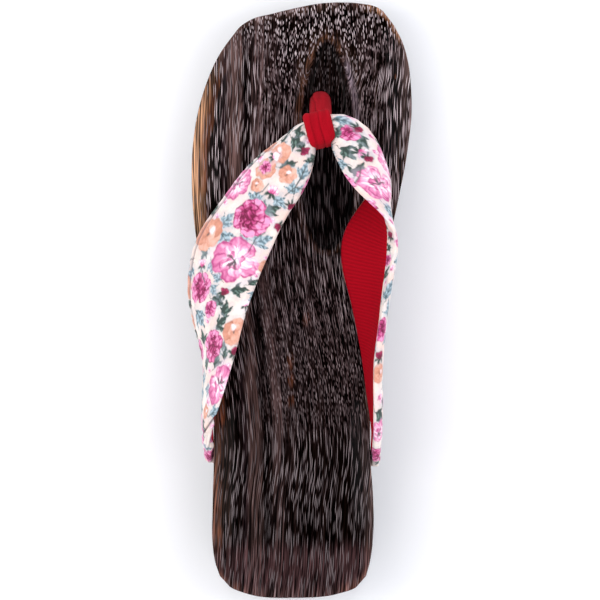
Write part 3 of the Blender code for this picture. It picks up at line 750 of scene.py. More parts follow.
places, travelled, across, share, sections = band_of(
    COVER_STATIONS, COVER_POINTS, -turned_over(COVER_STATIONS), math.pi + 0.20, math.pi / 2,
)
loop_at = np.interp(LOOP_ROW, *even_rows(COVER_STATIONS))
along_mm, across_mm = travelled / MM, across / MM
loop_mm = float(loop_at) / MM
total_mm = along_mm[-1, 0]
normals = surface_normals(places)

# Pleats fan out from the loop, the tails are gathered, a narrow rolled hem runs inside the outer
# edge, and the pad gives the face a slight unevenness.
from_loop = np.abs(along_mm - loop_mm)
from_tail = np.minimum(along_mm, total_mm - along_mm)
pleats = 0.50 * np.exp(-((np.maximum(from_loop - 5, 0) / 9.0) ** 2)) * np.cos(9.5 * share + 0.8 + 0.03 * along_mm)
pleats += 0.22 * np.exp(-((np.maximum(from_loop - 5, 0) / 15.0) ** 2)) * np.cos(17.0 * share + 2.0)
gathers = 0.34 * np.exp(-((from_tail / 13.0) ** 2)) * np.cos(11.0 * share + 0.05 * along_mm)
gathers += 0.16 * np.exp(-((from_tail / 24.0) ** 2)) * np.cos(6.0 * share + 1.0 + 0.09 * along_mm)
hem_from_edge = across_mm[:, -1:] - across_mm
hem_line = np.exp(-(((np.abs(hem_from_edge) - 4.0) / 0.45) ** 2)) * ease((from_tail - 14) / 10)
hem = -0.65 * hem_line + 0.25 * np.exp(-(((np.abs(hem_from_edge) - 3.0) / 0.6) ** 2))
padding = 0.16 * np.sin(along_mm / 5.3 + 0.8 * np.sin(across_mm / 6)) * np.sin(across_mm / 4.7 + 1)
by_hem = np.exp(-(((np.abs(hem_from_edge) - 3.0) / 1.6) ** 2))
puckers = 0.10 * np.sin(along_mm / 0.62 + 2 * np.sin(along_mm / 5)) * by_hem


def fold(places, start, end, width, deep):
    """A tuck along a line in plan: a trough with a ridge beside it."""
    start, end = np.array(start) * MM, np.array(end) * MM
    line = (end - start) / np.linalg.norm(end - start)
    off = places[..., :2] - start
    along, beside = off @ line, off[..., 0] * -line[1] + off[..., 1] * line[0]
    inside = within(along, 0, np.linalg.norm(end - start), 3 * MM)
    return deep * inside * (0.7 * np.exp(-(((beside - width) / width) ** 2)) - np.exp(-((beside / width) ** 2)))


# Tucks at the outer tail: start and end in plan, half width and depth, all in mm
TUCKS = (
    ((-33.0, -46.5), (-39.6, -54.2), 0.75, 0.9),
    ((-34.6, -54.0), (-37.4, -62.5), 0.7, 0.6),
    ((-36.6, -53.5), (-38.6, -62.0), 0.6, 0.45),
)
tucks = sum(fold(places, start, end, width * MM, deep) for start, end, width, deep in TUCKS)
relief = pleats + gathers + hem + padding + puckers + tucks
places = places + normals * (relief * MM)[..., None]

# The print: roses, open blossoms, peach flowers, buds and leaves as common on dress cotton, each with
# its place seen from above, its radius in mm and its turn in degrees.
PRINT = (
    ("leaf", -1.4, 63.4, 3.0, -40), ("leaf", -0.4, 67.1, 1.8, -20), ("peach", -8.3, 58.6, 4.2, 60),
    ("bud_white", -10.4, 57.2, 2.6, 10), ("peach", -13.7, 52.6, 4.2, 0), ("rose_small", -13.8, 53.0, 2.6, 0),
    ("bud_crimson", 1.4, 60.0, 2.8, -40), ("peach", -5.2, 49.7, 3.2, 30), ("leaf", -5.7, 53.2, 2.8, 10),
    ("blossom", -25.0, 46.5, 5.6, 70), ("peach", -17.3, 45.7, 2.6, 60), ("bud_pink", -11.3, 43.0, 3.2, 60),
    ("leafblue", -8.9, 39.3, 2.8, -50), ("leafblue", 1.2, 50.5, 2.8, 70), ("leafblue", -18.0, 41.0, 3.0, 80),
    ("rose", -19.6, 32.6, 7.2, 0), ("leaf", -12.9, 35.9, 3.4, 25), ("petal", -11.8, 31.8, 2.0, 0),
    ("bud_crimson", -3.7, 37.7, 2.6, -60), ("bud_crimson", -8.1, 29.2, 2.6, 200), ("leafblue", -30.0, 31.0, 3.2, 40),
    ("leafblue", -30.2, 24.5, 3.6, -60), ("peach", -37.0, 26.0, 5.6, 0), ("leafblue", -16.3, 23.3, 3.6, 20),
    ("leafblue", -22.6, 23.5, 2.6, -70), ("blossom", -25.9, 15.9, 8.5, 20), ("bud_pink", -39.3, 13.9, 2.4, 80),
    ("petal", -30.5, 39.2, 2.0, 0), ("leaf", -20.6, 54.2, 1.6, 30), ("rose", -40.0, 4.6, 5.0, 90),
    ("bud_crimson", -30.8, 2.6, 2.8, 50), ("leaf", -33.5, -0.6, 3.0, -30), ("leaf", -25.1, 3.4, 3.0, -10),
    ("leaf", -19.0, 6.6, 2.2, 30), ("rose_small", -35.9, -4.0, 3.2, 0), ("leafblue", -40.6, -7.1, 3.6, -60),
    ("leaf", -29.8, -4.7, 2.8, 80), ("leaf", -31.9, -9.9, 3.0, 30), ("peach", -26.2, -12.7, 4.8, 80),
    ("bud_white", -21.4, -2.0, 2.4, 90), ("rose", -34.9, -18.5, 5.6, 180), ("bud_crimson", -26.4, -21.0, 2.4, 40),
    ("leaf", -33.3, -24.6, 2.8, 60), ("leaf", -37.4, -25.2, 2.4, -80), ("blossom", -32.3, -33.9, 5.6, 40),
    ("petal", -29.8, -27.2, 2.4, 0), ("leafblue", -38.5, -31.8, 2.8, 90), ("leafblue", -34.1, -45.2, 2.6, 20),
    ("peach", -37.7, -44.7, 2.2, 0), ("petal", -37.0, -41.0, 2.0, 0), ("leafblue", 16.7, 71.9, 2.4, -20),
    ("petal", 19.7, 74.3, 2.4, 0), ("rose_small", 20.1, 66.9, 3.4, 0), ("bud_crimson", 22.9, 68.3, 2.4, -60),
    ("leaf", 15.1, 66.3, 2.6, 60), ("leaf", 18.6, 59.4, 3.2, -50), ("leaf", 24.6, 64.2, 2.8, -60),
    ("bud_pink", 24.6, 58.8, 3.4, -50), ("bud_crimson", 27.1, 56.9, 2.4, -60), ("petal", 28.6, 65.5, 2.4, 0),
    ("leaf", 23.3, 51.1, 3.2, 45), ("blossom", 31.0, 46.2, 6.6, 70), ("leafblue", 35.6, 35.8, 3.2, -70),
    ("bud_crimson", 36.2, 25.4, 2.6, 80), ("rose_small", 35.1, 15.9, 2.8, 0), ("leaf", 34.2, 9.9, 2.4, 60),
    ("leafblue", 34.6, 3.0, 3.2, 90), ("petal", 36.6, 31.2, 2.4, 0), ("rose_small", 32.9, -11.9, 4.0, 0),
    ("bud_crimson", 31.8, -22.8, 2.6, 90), ("peach", 31.6, -29.5, 3.2, 0), ("petal", 31.8, -39.3, 2.4, 0),
    ("leaf", 31.8, -46.0, 2.4, -30), ("blossom", 31.4, -53.0, 3.4, 0),
)
TWIGS = (
    ((-6.0, 41.5), (-1.8, 45.0), (2.0, 52.0)), ((-1.8, 45.0), (2.0, 44.4), (3.4, 44.0)),
    ((-12.5, 46.5), (-15.0, 43.5), (-18.0, 42.0)), ((-39.3, 11.6), (-39.0, 9.0), (-38.0, 7.0)),
    ((-20.5, 19.0), (-17.5, 24.5), (-14.0, 27.0)), ((22.0, 46.5), (24.0, 49.5), (24.4, 54.0)),
)
COTTON, COTTON_PINK, WASH, LILAC = (linear(c) for c in ("#f1e2d8", "#ebcec3", "#adb8c0", "#d6c8d8"))
TWIG_BROWN, CRIMSON, CRIMSON_LIGHT = linear("#4e5350"), linear("#6f1434"), linear("#a82a58")
ROSE_DARK, ROSE_MID, ROSE_LIGHT = linear("#6f0f3a"), linear("#c0407c"), linear("#ec9dc4")
PINK, PINK_PALE, PINK_DEEP = linear("#e58bb4"), linear("#fbeef3"), linear("#b5447c")
PEACH, PEACH_PALE, PEACH_DEEP = linear("#d3927a"), linear("#e9bba9"), linear("#ab6650")
LEAF_DARK, LEAF_PALE = linear("#2c3b35"), linear("#6d867b")
BLUE_DARK, BLUE_PALE = linear("#4b6570"), linear("#a9bec7")
cloth_along, cloth_across = along_mm.ravel(), across_mm.ravel()
dice = np.random.default_rng(11)


def ramp(value, *colours):
    """A colour for each value from 0 to 1, through these colours."""
    stops = np.linspace(0, 1, len(colours))
    return np.stack([np.interp(value, stops, [c[i] for c in colours]) for i in range(3)], 1)


patches = np.sin(cloth_along / 3.1 + 1.3 * np.sin(cloth_across / 2.7))
patches *= np.sin(cloth_across / 3.6 + np.sin(cloth_along / 4.3))
cloth = ramp(0.5 + 0.8 * patches, COTTON, COTTON_PINK)
# Rings of petals, from the outside in: how far out, how many, their half length and half width as
# shares of the flower's radius, and their shade at the base and at the tip. OUTLINES says how dark the
# line round each petal is.
PETAL_RINGS = {
    "rose": (
        (0.62, 7, 0.40, 0.40, 0.25, 1.0), (0.40, 5, 0.34, 0.36, 0.10, 0.85), (0.16, 3, 0.28, 0.28, 0.0, 0.5),
    ),
    "rose_small": ((0.50, 5, 0.48, 0.48, 0.2, 0.95), (0.18, 3, 0.34, 0.34, 0.0, 0.5)),
    "blossom": (
        (0.62, 7, 0.44, 0.38, 0.75, 0.42), (0.42, 5, 0.42, 0.30, 1.05, 0.55), (0.16, 4, 0.28, 0.20, 0.9, 0.3),
    ),
    "peach": ((0.46, 5, 0.56, 0.56, 0.40, 0.62), (0.20, 4, 0.36, 0.34, 0.35, 0.75)),
}
OUTLINES = {"rose": 0.66, "rose_small": 0.6, "blossom": 0.42, "peach": 0.20}
PETAL_COLOURS = {
    "rose": (ROSE_DARK, ROSE_MID, ROSE_LIGHT), "rose_small": (ROSE_DARK, ROSE_MID, ROSE_LIGHT),
    "blossom": (PINK_DEEP, PINK, PINK_PALE), "peach": (PEACH_DEEP, PEACH, PEACH_PALE),
}


def draw_motif(kind, along, across, radius, turn):
    """Paints one motif on the cloth in brush strokes, at a place along and across it in mm."""
    beside = np.maximum(np.abs(cloth_along - along), np.abs(cloth_across - across))
    near = np.flatnonzero(beside < 1.7 * radius)
    if not len(near):
        return
    phase = dice.uniform(0, 2 * math.pi, 4)
    ds, dt = cloth_along[near] - along, cloth_across[near] - across
    ds, dt = (
        ds + 0.20 * np.sin(1.9 * dt + phase[0]) + 0.10 * np.sin(4.1 * ds + phase[1]),
        dt + 0.20 * np.sin(2.1 * ds + phase[2]) + 0.10 * np.sin(4.3 * dt + phase[3]),
    )
    turn = math.radians(turn)
    u = (ds * math.cos(turn) + dt * math.sin(turn)) / radius
    v = (dt * math.cos(turn) - ds * math.sin(turn)) / radius
    r, angle = np.hypot(u, v), np.arctan2(v, u)
    soft, line = 0.24 / radius, OUTLINES.get(kind, 0.5)

    def lay(colour, inside):
        cloth[near] = laid_over(cloth[near], colour, inside)

    def petal(out, towards, half_long, half_wide, base, tip, colours):
        """One petal, shaded in strokes from its base to its tip, with a darker line round it."""
        p = (u * math.cos(towards) + v * math.sin(towards) - out) / half_long
        q = (v * math.cos(towards) - u * math.sin(towards)) / (half_wide * (1 + 0.25 * np.clip(p, -1, 1)))
        reach = np.hypot(p, q)
        inside = ease((1 - reach) * half_wide / (1.6 * soft) + 0.5)
        streaks = 0.20 * np.sin(6 * q + 9 * towards) + 0.14 * np.sin(13 * q + 3 * p + 5 * towards)
        shade = base + (tip - base) * ease(0.5 + 0.62 * p) + 1.6 * line * streaks
        shade = shade - line * (0.45 + 0.55 * (q > 0)) * ease((reach - 0.74) / 0.2)
        lay(ramp(shade, *colours), inside)

    lay(LILAC if kind in ("blossom", "bud_white", "petal") else WASH,
        0.30 * ease((1.30 + 0.14 * np.sin(3 * angle + phase[0]) - r) / 0.3))
    if kind in PETAL_RINGS:
        for out, count, half_long, half_wide, base, tip in PETAL_RINGS[kind]:
            first = dice.uniform(0, 2 * math.pi)
            for i in dice.permutation(count):
                towards = first + 2 * math.pi * i / count + dice.uniform(-0.25, 0.25)
                size = dice.uniform(0.85, 1.15)
                light = dice.uniform(-0.18, 0.22) + 0.12 * math.cos(towards - 0.8)
                sizes = half_long * size, half_wide * size
                petal(out, towards, *sizes, base + light, tip + light, PETAL_COLOURS[kind])
    if kind == "blossom":
        for towards in dice.uniform(0, 2 * math.pi, 5):
            petal(0.34, towards, 0.34, 0.07, 0.9, 1.0, PETAL_COLOURS[kind])
        for towards in dice.uniform(0, 2 * math.pi, 4):
            petal(0.22, towards, 0.24, 0.05, 0.0, 0.2, (TWIG_BROWN, PINK_DEEP, PINK))
    elif kind == "rose":
        for towards in dice.uniform(0, 2 * math.pi, 4):
            petal(0.48, towards, 0.10, 0.30, 0.0, 0.1, PETAL_COLOURS[kind])
    elif kind == "peach":
        lay(PINK_PALE, 0.8 * ease((0.30 - np.hypot(u - 0.30, v + 0.2)) / 0.18))
        lay(TWIG_BROWN, 0.75 * ease((0.15 - np.hypot(u, 1.6 * v)) / 0.08))
    elif kind.startswith("bud"):
        colours = {
            "bud_pink": (ROSE_MID, PINK, PINK_PALE), "bud_white": (PINK, PINK_PALE, PINK_PALE),
            "bud_crimson": (CRIMSON, CRIMSON, CRIMSON_LIGHT),
        }[kind]
        for towards in (2.3, 3.1, 4.0):
            petal(0.50, towards, 0.46, 0.17, 0.1, 0.7, (LEAF_DARK, LEAF_DARK, LEAF_PALE))
        for towards, size in ((0.9, 0.34), (-0.9, 0.34), (0.0, 0.36)):
            petal(0.26, towards, 0.52, size, 0.1, 0.95, colours)
    elif kind == "petal":
        for towards in (0.4, -0.5):
            petal(0.20, towards, 0.66, 0.36, 0.2, 0.9, PETAL_COLOURS["blossom"])
    elif kind in ("leaf", "leafblue"):
        dark, pale = (LEAF_DARK, LEAF_PALE) if kind == "leaf" else (BLUE_DARK, BLUE_PALE)
        for lean, size, slim in ((0.75, 0.85, 0.32), (-0.85, 0.78, 0.30), (0.0, 1.10, 0.40)):
            lean += dice.uniform(-0.2, 0.2)
            p = ((u + 0.5) * math.cos(lean) + v * math.sin(lean)) / size - 0.75
            q = (v * math.cos(lean) - (u + 0.5) * math.sin(lean)) / size
            half = slim * np.clip(1 - p**2, 0, 1) * (1 - 0.35 * p) * (1 + 0.14 * np.sin(9 * p + phase[0]))
            body = ease((half - np.abs(q)) / (1.6 * soft) + 0.5) * (np.abs(p) < 1)
            veins = ease(0.5 + 0.9 * np.sin(12 * (p - 0.9 * np.abs(q)) + phase[1]))
            share_pale = (0.05 + 0.75 * veins * (q > 0)) if kind == "leaf" else (0.20 + 0.80 * veins)
            lay(ramp(share_pale, dark, pale), body)
            lay(LEAF_DARK, 0.75 * body * ease((0.07 - np.abs(q)) / 0.06))
        stalk = np.abs(v + 0.12 * np.sin(3 * u)) * radius
        lay(LEAF_DARK, 0.7 * ease((0.30 - stalk) / 0.2) * within(u, -1.35, -0.2, 0.1))


def on_cloth(x, y):
    """The cloth's place under a point seen from above, and the way the strap runs there."""
    seen = normals[..., 2] > 0.04
    off = np.hypot(places[..., 0] - x * MM, places[..., 1] - y * MM)
    off = off - 0.02 * places[..., 2] + np.where(seen, 0, 1)
    i, j = np.unravel_index(np.argmin(off), off.shape)
    run = math.atan2(sections["forward"][i, 1], sections["forward"][i, 0])
    return along_mm[i, j], across_mm[i, j], run


LEAF_SPREAD, FLOWER_SPREAD = 1.25, 1.12
charted = []
for kind, x, y, radius, turn in PRINT:
    along, across_here, run = on_cloth(x, y)
    radius = (LEAF_SPREAD if kind.startswith("leaf") else FLOWER_SPREAD) * radius
    charted.append((kind, along, across_here, radius, math.degrees(run) - turn))
taken = [(along, across_here, radius) for _, along, across_here, radius, _ in charted]
# The same print fills what the chart leaves bare, and the faces that are seen from the sides: kind,
# radius in mm, and how far it keeps off what is there, as a share of both radii.
FILL = (
    ("rose", 5.4, 1.06), ("blossom", 6.0, 1.06), ("peach", 4.2, 0.98), ("leafblue", 3.4, 0.86),
    ("leaf", 3.2, 0.86), ("bud_pink", 3.0, 0.90), ("rose_small", 2.9, 0.95), ("leafblue", 2.6, 0.80),
    ("leaf", 2.2, 0.78), ("petal", 1.7, 0.80),
)
FILL_TRIES = 300
filled = []
for kind, size, apart in FILL:
    for attempt in range(FILL_TRIES):
        along = dice.uniform(2, total_mm - 2)
        across_here = dice.uniform(cloth_across.min(), cloth_across.max())
        if all(math.hypot(along - a, across_here - b) > apart * (size + r) for a, b, r in taken):
            taken.append((along, across_here, size))
            filled.append((kind, along, across_here, size, dice.uniform(0, 360)))
order = {"leaf": 0, "leafblue": 0, "petal": 1, "peach": 2, "blossom": 3}
for motif in sorted(filled + charted, key=lambda motif: order.get(motif[0], 4)):
    draw_motif(*motif)
for twig in TWIGS:
    corners = np.array([on_cloth(*corner)[:2] for corner in twig])
    for start, end in zip(corners, corners[1:]):
        run = end - start
        if run @ run < 0.01:
            continue
        ahead, beside = cloth_along - start[0], cloth_across - start[1]
        share_of = np.clip((ahead * run[0] + beside * run[1]) / (run @ run), 0, 1)
        off = np.hypot(ahead - share_of * run[0], beside - share_of * run[1])
        cloth = laid_over(cloth, TWIG_BROWN, 0.8 * ease((0.42 - off) / 0.3))


HEM_SHADE, TUCK_SHADE = linear("#6f626a"), linear("#3b2c2e")
cloth = laid_over(cloth, HEM_SHADE, 0.75 * hem_line.ravel() * (along_mm.ravel() < loop_mm))
cloth = laid_over(cloth, TUCK_SHADE, 0.8 * ease(-tucks.ravel() / 0.5 - 0.35))
CAP_TURNS = np.radians((30, 58, 80, 89.9))


def closed_round(grid, forward, radius=1.0 * MM):
    """Adds rows that close a strip towards the middle of its tails."""
    def cap(row, direction):
        middle = row.mean(0)
        return [middle + (row - middle) * math.cos(t) + direction * radius * math.sin(t) for t in CAP_TURNS]
    head, foot = cap(grid[0], -forward[0]), cap(grid[-1], forward[-1])
    return np.concatenate([np.array(head[::-1]), grid, np.array(foot)])


def store_on_cloth(mesh, name, kind, values):
    """Keeps values of a strip, [station][point], also on the rows that close its tails."""
    rows = (len(CAP_TURNS), len(CAP_TURNS))
    store(mesh, name, kind, np.pad(values, (rows, (0, 0), (0, 0)), mode="edge").reshape(-1, 3))


cover = new_piece("strap_cover", grid_mesh("strap_cover", closed_round(places, sections["forward"])))
store_on_cloth(cover.data, "print", "FLOAT_COLOR", cloth.reshape(*places.shape))
store_on_cloth(cover.data, "cloth", "FLOAT_VECTOR", np.stack([along_mm, across_mm, 0 * along_mm], -1))

# Cotton broadcloth, printed and unglazed: a dry matt face. Its threads, some 0.3 mm apart, are drawn
# 0.7 mm apart so that they show, as a faint relief and a slight unevenness of the ink.
def woven(tree, on_weave, thread_mm):
    """The height of a plain weave with threads this far apart."""
    turns = 2 * math.pi / thread_mm
    threads = node(tree, "VectorMath", {"operation": "MULTIPLY", 1: (turns, turns, 0)}, {0: on_weave})
    each_way = node(tree, "SeparateXYZ", {}, {0: threads.outputs[0]})
    warp, weft = (node(tree, "Math", {"operation": "SINE"}, {0: each_way.outputs[i]}) for i in (0, 1))
    return node(tree, "Math", {"operation": "MULTIPLY"}, {0: warp.outputs[0], 1: weft.outputs[0]}).outputs[0]


printed_cotton, tree, shader = new_material("printed cotton")
inks = node(tree, "Attribute", {"attribute_name": "print"}).outputs["Color"]
on_weave = node(tree, "Attribute", {"attribute_name": "cloth"}).outputs["Vector"]
weave = woven(tree, on_weave, 0.7)
blotch = node(tree, "TexNoise", {"Scale": 0.9, "Detail": 4.0, "Roughness": 0.7}, {"Vector": on_weave})
uneven = node(
    tree, "MapRange", {"From Min": 0.3, "From Max": 0.7, "To Min": 0.90, "To Max": 1.06}, {"Value": blotch.outputs[0]},
)
inked = node(tree, "VectorMath", {"operation": "SCALE"}, {0: inks, "Scale": uneven.outputs[0]})
raised = node(tree, "Bump", {"Strength": 0.30, "Distance": 0.05 * MM}, {"Height": weave})
tree.links.new(inked.outputs[0], shader.inputs["Base Color"])
tree.links.new(raised.outputs[0], shader.inputs["Normal"])
shader.inputs["Roughness"].default_value = 0.78
shader.inputs["Specular IOR Level"].default_value = 0.35
shader.inputs["Sheen Weight"].default_value = 0.08
cover.data.materials.append(printed_cotton)
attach(cover, "root")
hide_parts("strap_upper")

# ---- The strap's lining ----------------------------------------------------------------------
# A red ribbed cotton, sewn under the pad along the turned edges of the cover. It is what touches the
# foot, and it shows where the inner branch leans outwards.
LINING_STATIONS, LINING_POINTS = 560, 40
lined, lined_along, lined_across, lined_share, lined_sections = band_of(
    LINING_STATIONS, LINING_POINTS, math.pi + 0.12, 2 * math.pi + 0.13 - turned_over(LINING_STATIONS),
    1.5 * math.pi,
)
lined_normals = surface_normals(lined)
from_seam = np.minimum(np.arange(LINING_POINTS), np.arange(LINING_POINTS)[::-1])[None, :]
lift = np.interp(from_seam, (0, 1, 3, 8), (-0.25, 0.02, 0.22, 0.30)) * np.ones((LINING_STATIONS, 1))
lined_mm, lined_across_mm = lined_along / MM, lined_across / MM
lined_tail = np.minimum(lined_mm, lined_mm[-1] - lined_mm)
lift += 0.12 * np.sin(lined_mm / 6.1) * np.sin(lined_across_mm / 5.0)
lift += 0.26 * np.exp(-((lined_tail / 12.0) ** 2)) * np.cos(10.0 * lined_share)
lined = lined + lined_normals * (lift * MM)[..., None]
lined = closed_round(lined, lined_sections["forward"], 0.9 * MM)
lining = new_piece("strap_lining", grid_mesh("strap_lining", lined))
store_on_cloth(lining.data, "cloth", "FLOAT_VECTOR", np.stack([lined_mm, lined_across_mm, 0 * lined_mm], -1))

# Ribbed cotton, woven with a thick weft: fine raised ribs 1.4 mm apart across the strap, a little
# aslant, with the shade between them darker.
RIB_SPACING_MM = 1.4
ribbed_cotton, tree, shader = new_material("red ribbed cotton")
on_weave = node(tree, "Attribute", {"attribute_name": "cloth"}).outputs["Vector"]
ribwards = node(tree, "VectorMath", {"operation": "DOT_PRODUCT", 1: (1.0, 0.28, 0.0)}, {0: on_weave})
turned = node(
    tree, "Math", {"operation": "MULTIPLY", 1: 2 * math.pi / RIB_SPACING_MM}, {0: ribwards.outputs["Value"]},
)
ribs = node(tree, "Math", {"operation": "SINE"}, {0: turned.outputs[0]})
fuzz = node(tree, "TexNoise", {"Scale": 2.6, "Detail": 3.0}, {"Vector": on_weave})
rib_shade = node(tree, "MapRange", {"From Min": -1.0, "To Min": 0.0, "To Max": 1.0}, {"Value": ribs.outputs[0]})
mottled = node(tree, "Math", {"operation": "MULTIPLY_ADD", 1: 0.6}, {0: rib_shade.outputs[0], 2: fuzz.outputs[0]})
red = node(
    tree, "Mix", {"data_type": "RGBA", 6: (*linear("#7c0010"), 1), 7: (*linear("#a60016"), 1)}, {0: mottled.outputs[0]},
)
raised = node(tree, "Bump", {"Strength": 0.4, "Distance": 0.16 * MM}, {"Height": mottled.outputs[0]})
tree.links.new(red.outputs[2], shader.inputs["Base Color"])
tree.links.new(raised.outputs[0], shader.inputs["Normal"])
shader.inputs["Roughness"].default_value = 0.85
shader.inputs["Specular IOR Level"].default_value = 0.10
lining.data.materials.append(ribbed_cotton)
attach(lining, "root")
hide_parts("strap_upper")

# ---- The strap's tails -----------------------------------------------------------------------
# At each end the cover and its lining are twisted to a cord and glued into a hole in the sole's side.
TAIL_RADIUS = 0.0031
TAIL_RINGS, TAIL_SIDES = 26, 40
TAIL_COTTON = linear("#e3c9c4")


def tail_mesh(name, end, side_rim, side):
    """A gathered cord of cloth from the strap's end into its hole, fluted along its length."""
    mouth, bottom = (np.array(place) for place in socket_place(end, side_rim, side))
    start = np.array(end) + side * np.array([0.0006, 0, 0])
    turn = np.linspace(0, 2 * math.pi, TAIL_SIDES, endpoint=False)
    rings = []
    for share_in in np.linspace(0, 1, TAIL_RINGS):
        middle = start + (bottom - start) * share_in * 0.92
        radius = TAIL_RADIUS * math.sin(math.acos(max(1 - 4 * share_in, 0)))
        flutes = 1 + 0.09 * np.cos(7 * turn + 2.5 * share_in)
        radii = max(radius, 0.0004) * flutes
        rings.append(middle + np.stack([np.zeros(TAIL_SIDES), radii * np.cos(turn), radii * np.sin(turn)], 1))
    rings = np.array(rings)
    return grid_mesh(name, np.concatenate([rings, rings[:, :1]], 1), flip=side > 0)


for name, end, side_rim, side in (
    ("tail_outer", outer_end, little_toe_rim, -1), ("tail_inner", inner_end, big_toe_rim, 1),
):
    tail = new_piece(name, tail_mesh(name, end, side_rim, side))
    store(tail.data, "print", "FLOAT_COLOR", np.tile(TAIL_COTTON, (len(tail.data.vertices), 1)))
    store(tail.data, "cloth", "FLOAT_VECTOR", vertex_values(tail.data) / MM)
    tail.data.materials.append(printed_cotton)
    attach(tail, "root")
    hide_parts("strap_upper")

# ---- The toe loop ----------------------------------------------------------------------------
# A strip of plain red cotton, folded lengthwise, wrapped over the pinched strap and drawn down
# through the sole, where it is knotted in a pocket. Its folds run round the strap.
LOOP_WIDTH = 0.0114
LOOP_WALL = 0.0017
GAP = 0.0003
KNOT_RADIUS = 0.0082
KNOT_HEIGHT = 0.0072
STEM = (
    (-0.16, 0.00, 1.00, 1.00), (0.02, 0.00, 1.00, 1.00), (0.16, 0.13, 1.03, 1.14), (0.34, 0.33, 1.05, 1.30),
    (0.53, 0.56, 1.08, 1.42), (0.72, 0.78, 1.12, 1.48), (0.90, 0.95, 1.12, 1.40),
)
LOOP_CELL = 0.00042
# The sleeve's wall along its width: where, as a share of half the width, and its share of the full wall
SLEEVE = (
    (-1, 0.35), (-0.95, 0.75), (-0.86, 1), (-0.4, 1.04), (0, 1), (0.5, 1.05), (0.86, 1), (0.95, 0.75), (1, 0.35),
)


def closed_loft(name, rings):
    """A closed mesh through rings of equally many points, with a cap at each end."""
    built = bmesh.new()
    loops = [[built.verts.new(point) for point in ring] for ring in rings]
    for one, other in zip(loops, loops[1:]):
        for i, corner in enumerate(one):
            j = (i + 1) % len(one)
            built.faces.new((corner, one[j], other[j], other[i]))
    built.faces.new(loops[0])
    built.faces.new(loops[-1])
    bmesh.ops.recalc_face_normals(built, faces=built.faces)
    mesh = bpy.data.meshes.new(name)
    built.to_mesh(mesh)
    built.free()
    return mesh


def ring_at(row, grow, points=72):
    """The strap's whole section at one row of STRAP, larger all round by grow."""
    section = {name: value[0] for name, value in strap_sections([row]).items()}
    angle = np.linspace(0, 2 * math.pi, points, endpoint=False)
    sizes = [section[name] for name in ("chord", "crown", "thick")]
    chordwise, off_face = section_curve(angle, *sizes, grow)
    return section["middle"] + chordwise[:, None] * section["inward"] + off_face[:, None] * section["face"]


def stem_rings(top):
    """The stem's rings, from the knot's underside through the hole and up to the strap's middle."""
    mouth = footbed_height(hole_y) - hollow_depth(hole_x, hole_y)
    neck, roof = THONG_HOLE_RADIUS - GAP, KNOT_POCKET_DEPTH - GAP
    levels = []
    for turn in np.radians((-72, -45, -15, 15, 45, 68)):
        radius = KNOT_RADIUS * math.cos(turn)
        levels.append((hole_x, hole_y, roof - KNOT_HEIGHT / 2 * (1 - math.sin(turn)), radius, radius))
    levels.append((hole_x, hole_y, roof + GAP, neck, neck))
    for height, lean, half_x, half_y in STEM:
        x, y = hole_x + lean * (top[0] - hole_x), hole_y + lean * (top[1] - hole_y)
        levels.append((x, y, mouth + height * (top[2] - mouth), half_x * neck, half_y * neck))
    angle = np.linspace(0, 2 * math.pi, 48, endpoint=False)
    return [
        np.stack([x + a * np.cos(angle), y + b * np.sin(angle), np.full_like(angle, z)], 1)
        for x, y, z, a, b in levels
    ]


pinch = strap_sections([LOOP_ROW])
top, through = pinch["middle"][0], pinch["forward"][0]
sleeve = [
    ring_at(LOOP_ROW, GAP + 1.15 * wall * LOOP_WALL) + reach * LOOP_WIDTH / 2 * through for reach, wall in SLEEVE
]
channel = [ring_at(row, 0.5 * GAP) for row in LOOP_ROW + np.linspace(-2, 2, 17)]
toe_loop = new_piece("toe_loop", closed_loft("toe_loop", sleeve))
helpers = [
    boolean(toe_loop, "UNION", new_piece("stem", closed_loft("stem", stem_rings(top)))),
    boolean(toe_loop, "DIFFERENCE", new_piece("channel", closed_loft("channel", channel))),
]
remesh = toe_loop.modifiers.new("even cells", "REMESH")
remesh.mode = "VOXEL"
remesh.voxel_size = LOOP_CELL
soften = toe_loop.modifiers.new("soft", "SMOOTH")
soften.factor = 0.5
soften.iterations = 7
loop_mesh = apply_modifiers(toe_loop, helpers)
loop_places = vertex_values(loop_mesh)
loop_normals = vertex_values(loop_mesh, "normal")
crosswise = (loop_places - top) @ through / MM
lengthwise = (loop_places[:, 2] - loop_places[:, 1]) / MM
bent = crosswise + 0.25 * np.sin(lengthwise / 3.1)
folds = 0.30 * np.exp(-(((bent + 4.2) / 0.9) ** 2)) - 0.20 * np.exp(-(((bent + 2.9) / 0.40) ** 2))
folds += -0.30 * np.exp(-(((bent - 0.5) / 0.28) ** 2)) + 0.16 * np.exp(-(((bent - 1.2) / 0.5) ** 2))
folds += -0.08 * np.exp(-(((bent - 3.3) / 0.40) ** 2)) + 0.06 * np.sin(1.7 * crosswise + lengthwise / 4)
folds *= ease((loop_places[:, 2] / MM - 14) / 6)
round_knot = np.arctan2(loop_places[:, 1] - hole_y, loop_places[:, 0] - hole_x)
knotted = 0.30 * np.sin(5 * round_knot + loop_places[:, 2] / MM)
folds += knotted * (1 - ease((loop_places[:, 2] / MM - 8) / 2))
moved = loop_places + loop_normals * (folds * MM)[:, None]
loop_mesh.vertices.foreach_set("co", moved.astype(np.float32).ravel())
loop_mesh.update()
loop_mesh.shade_smooth()
store(loop_mesh, "cloth", "FLOAT_VECTOR", np.stack([crosswise, lengthwise * 0.75, folds], 1))
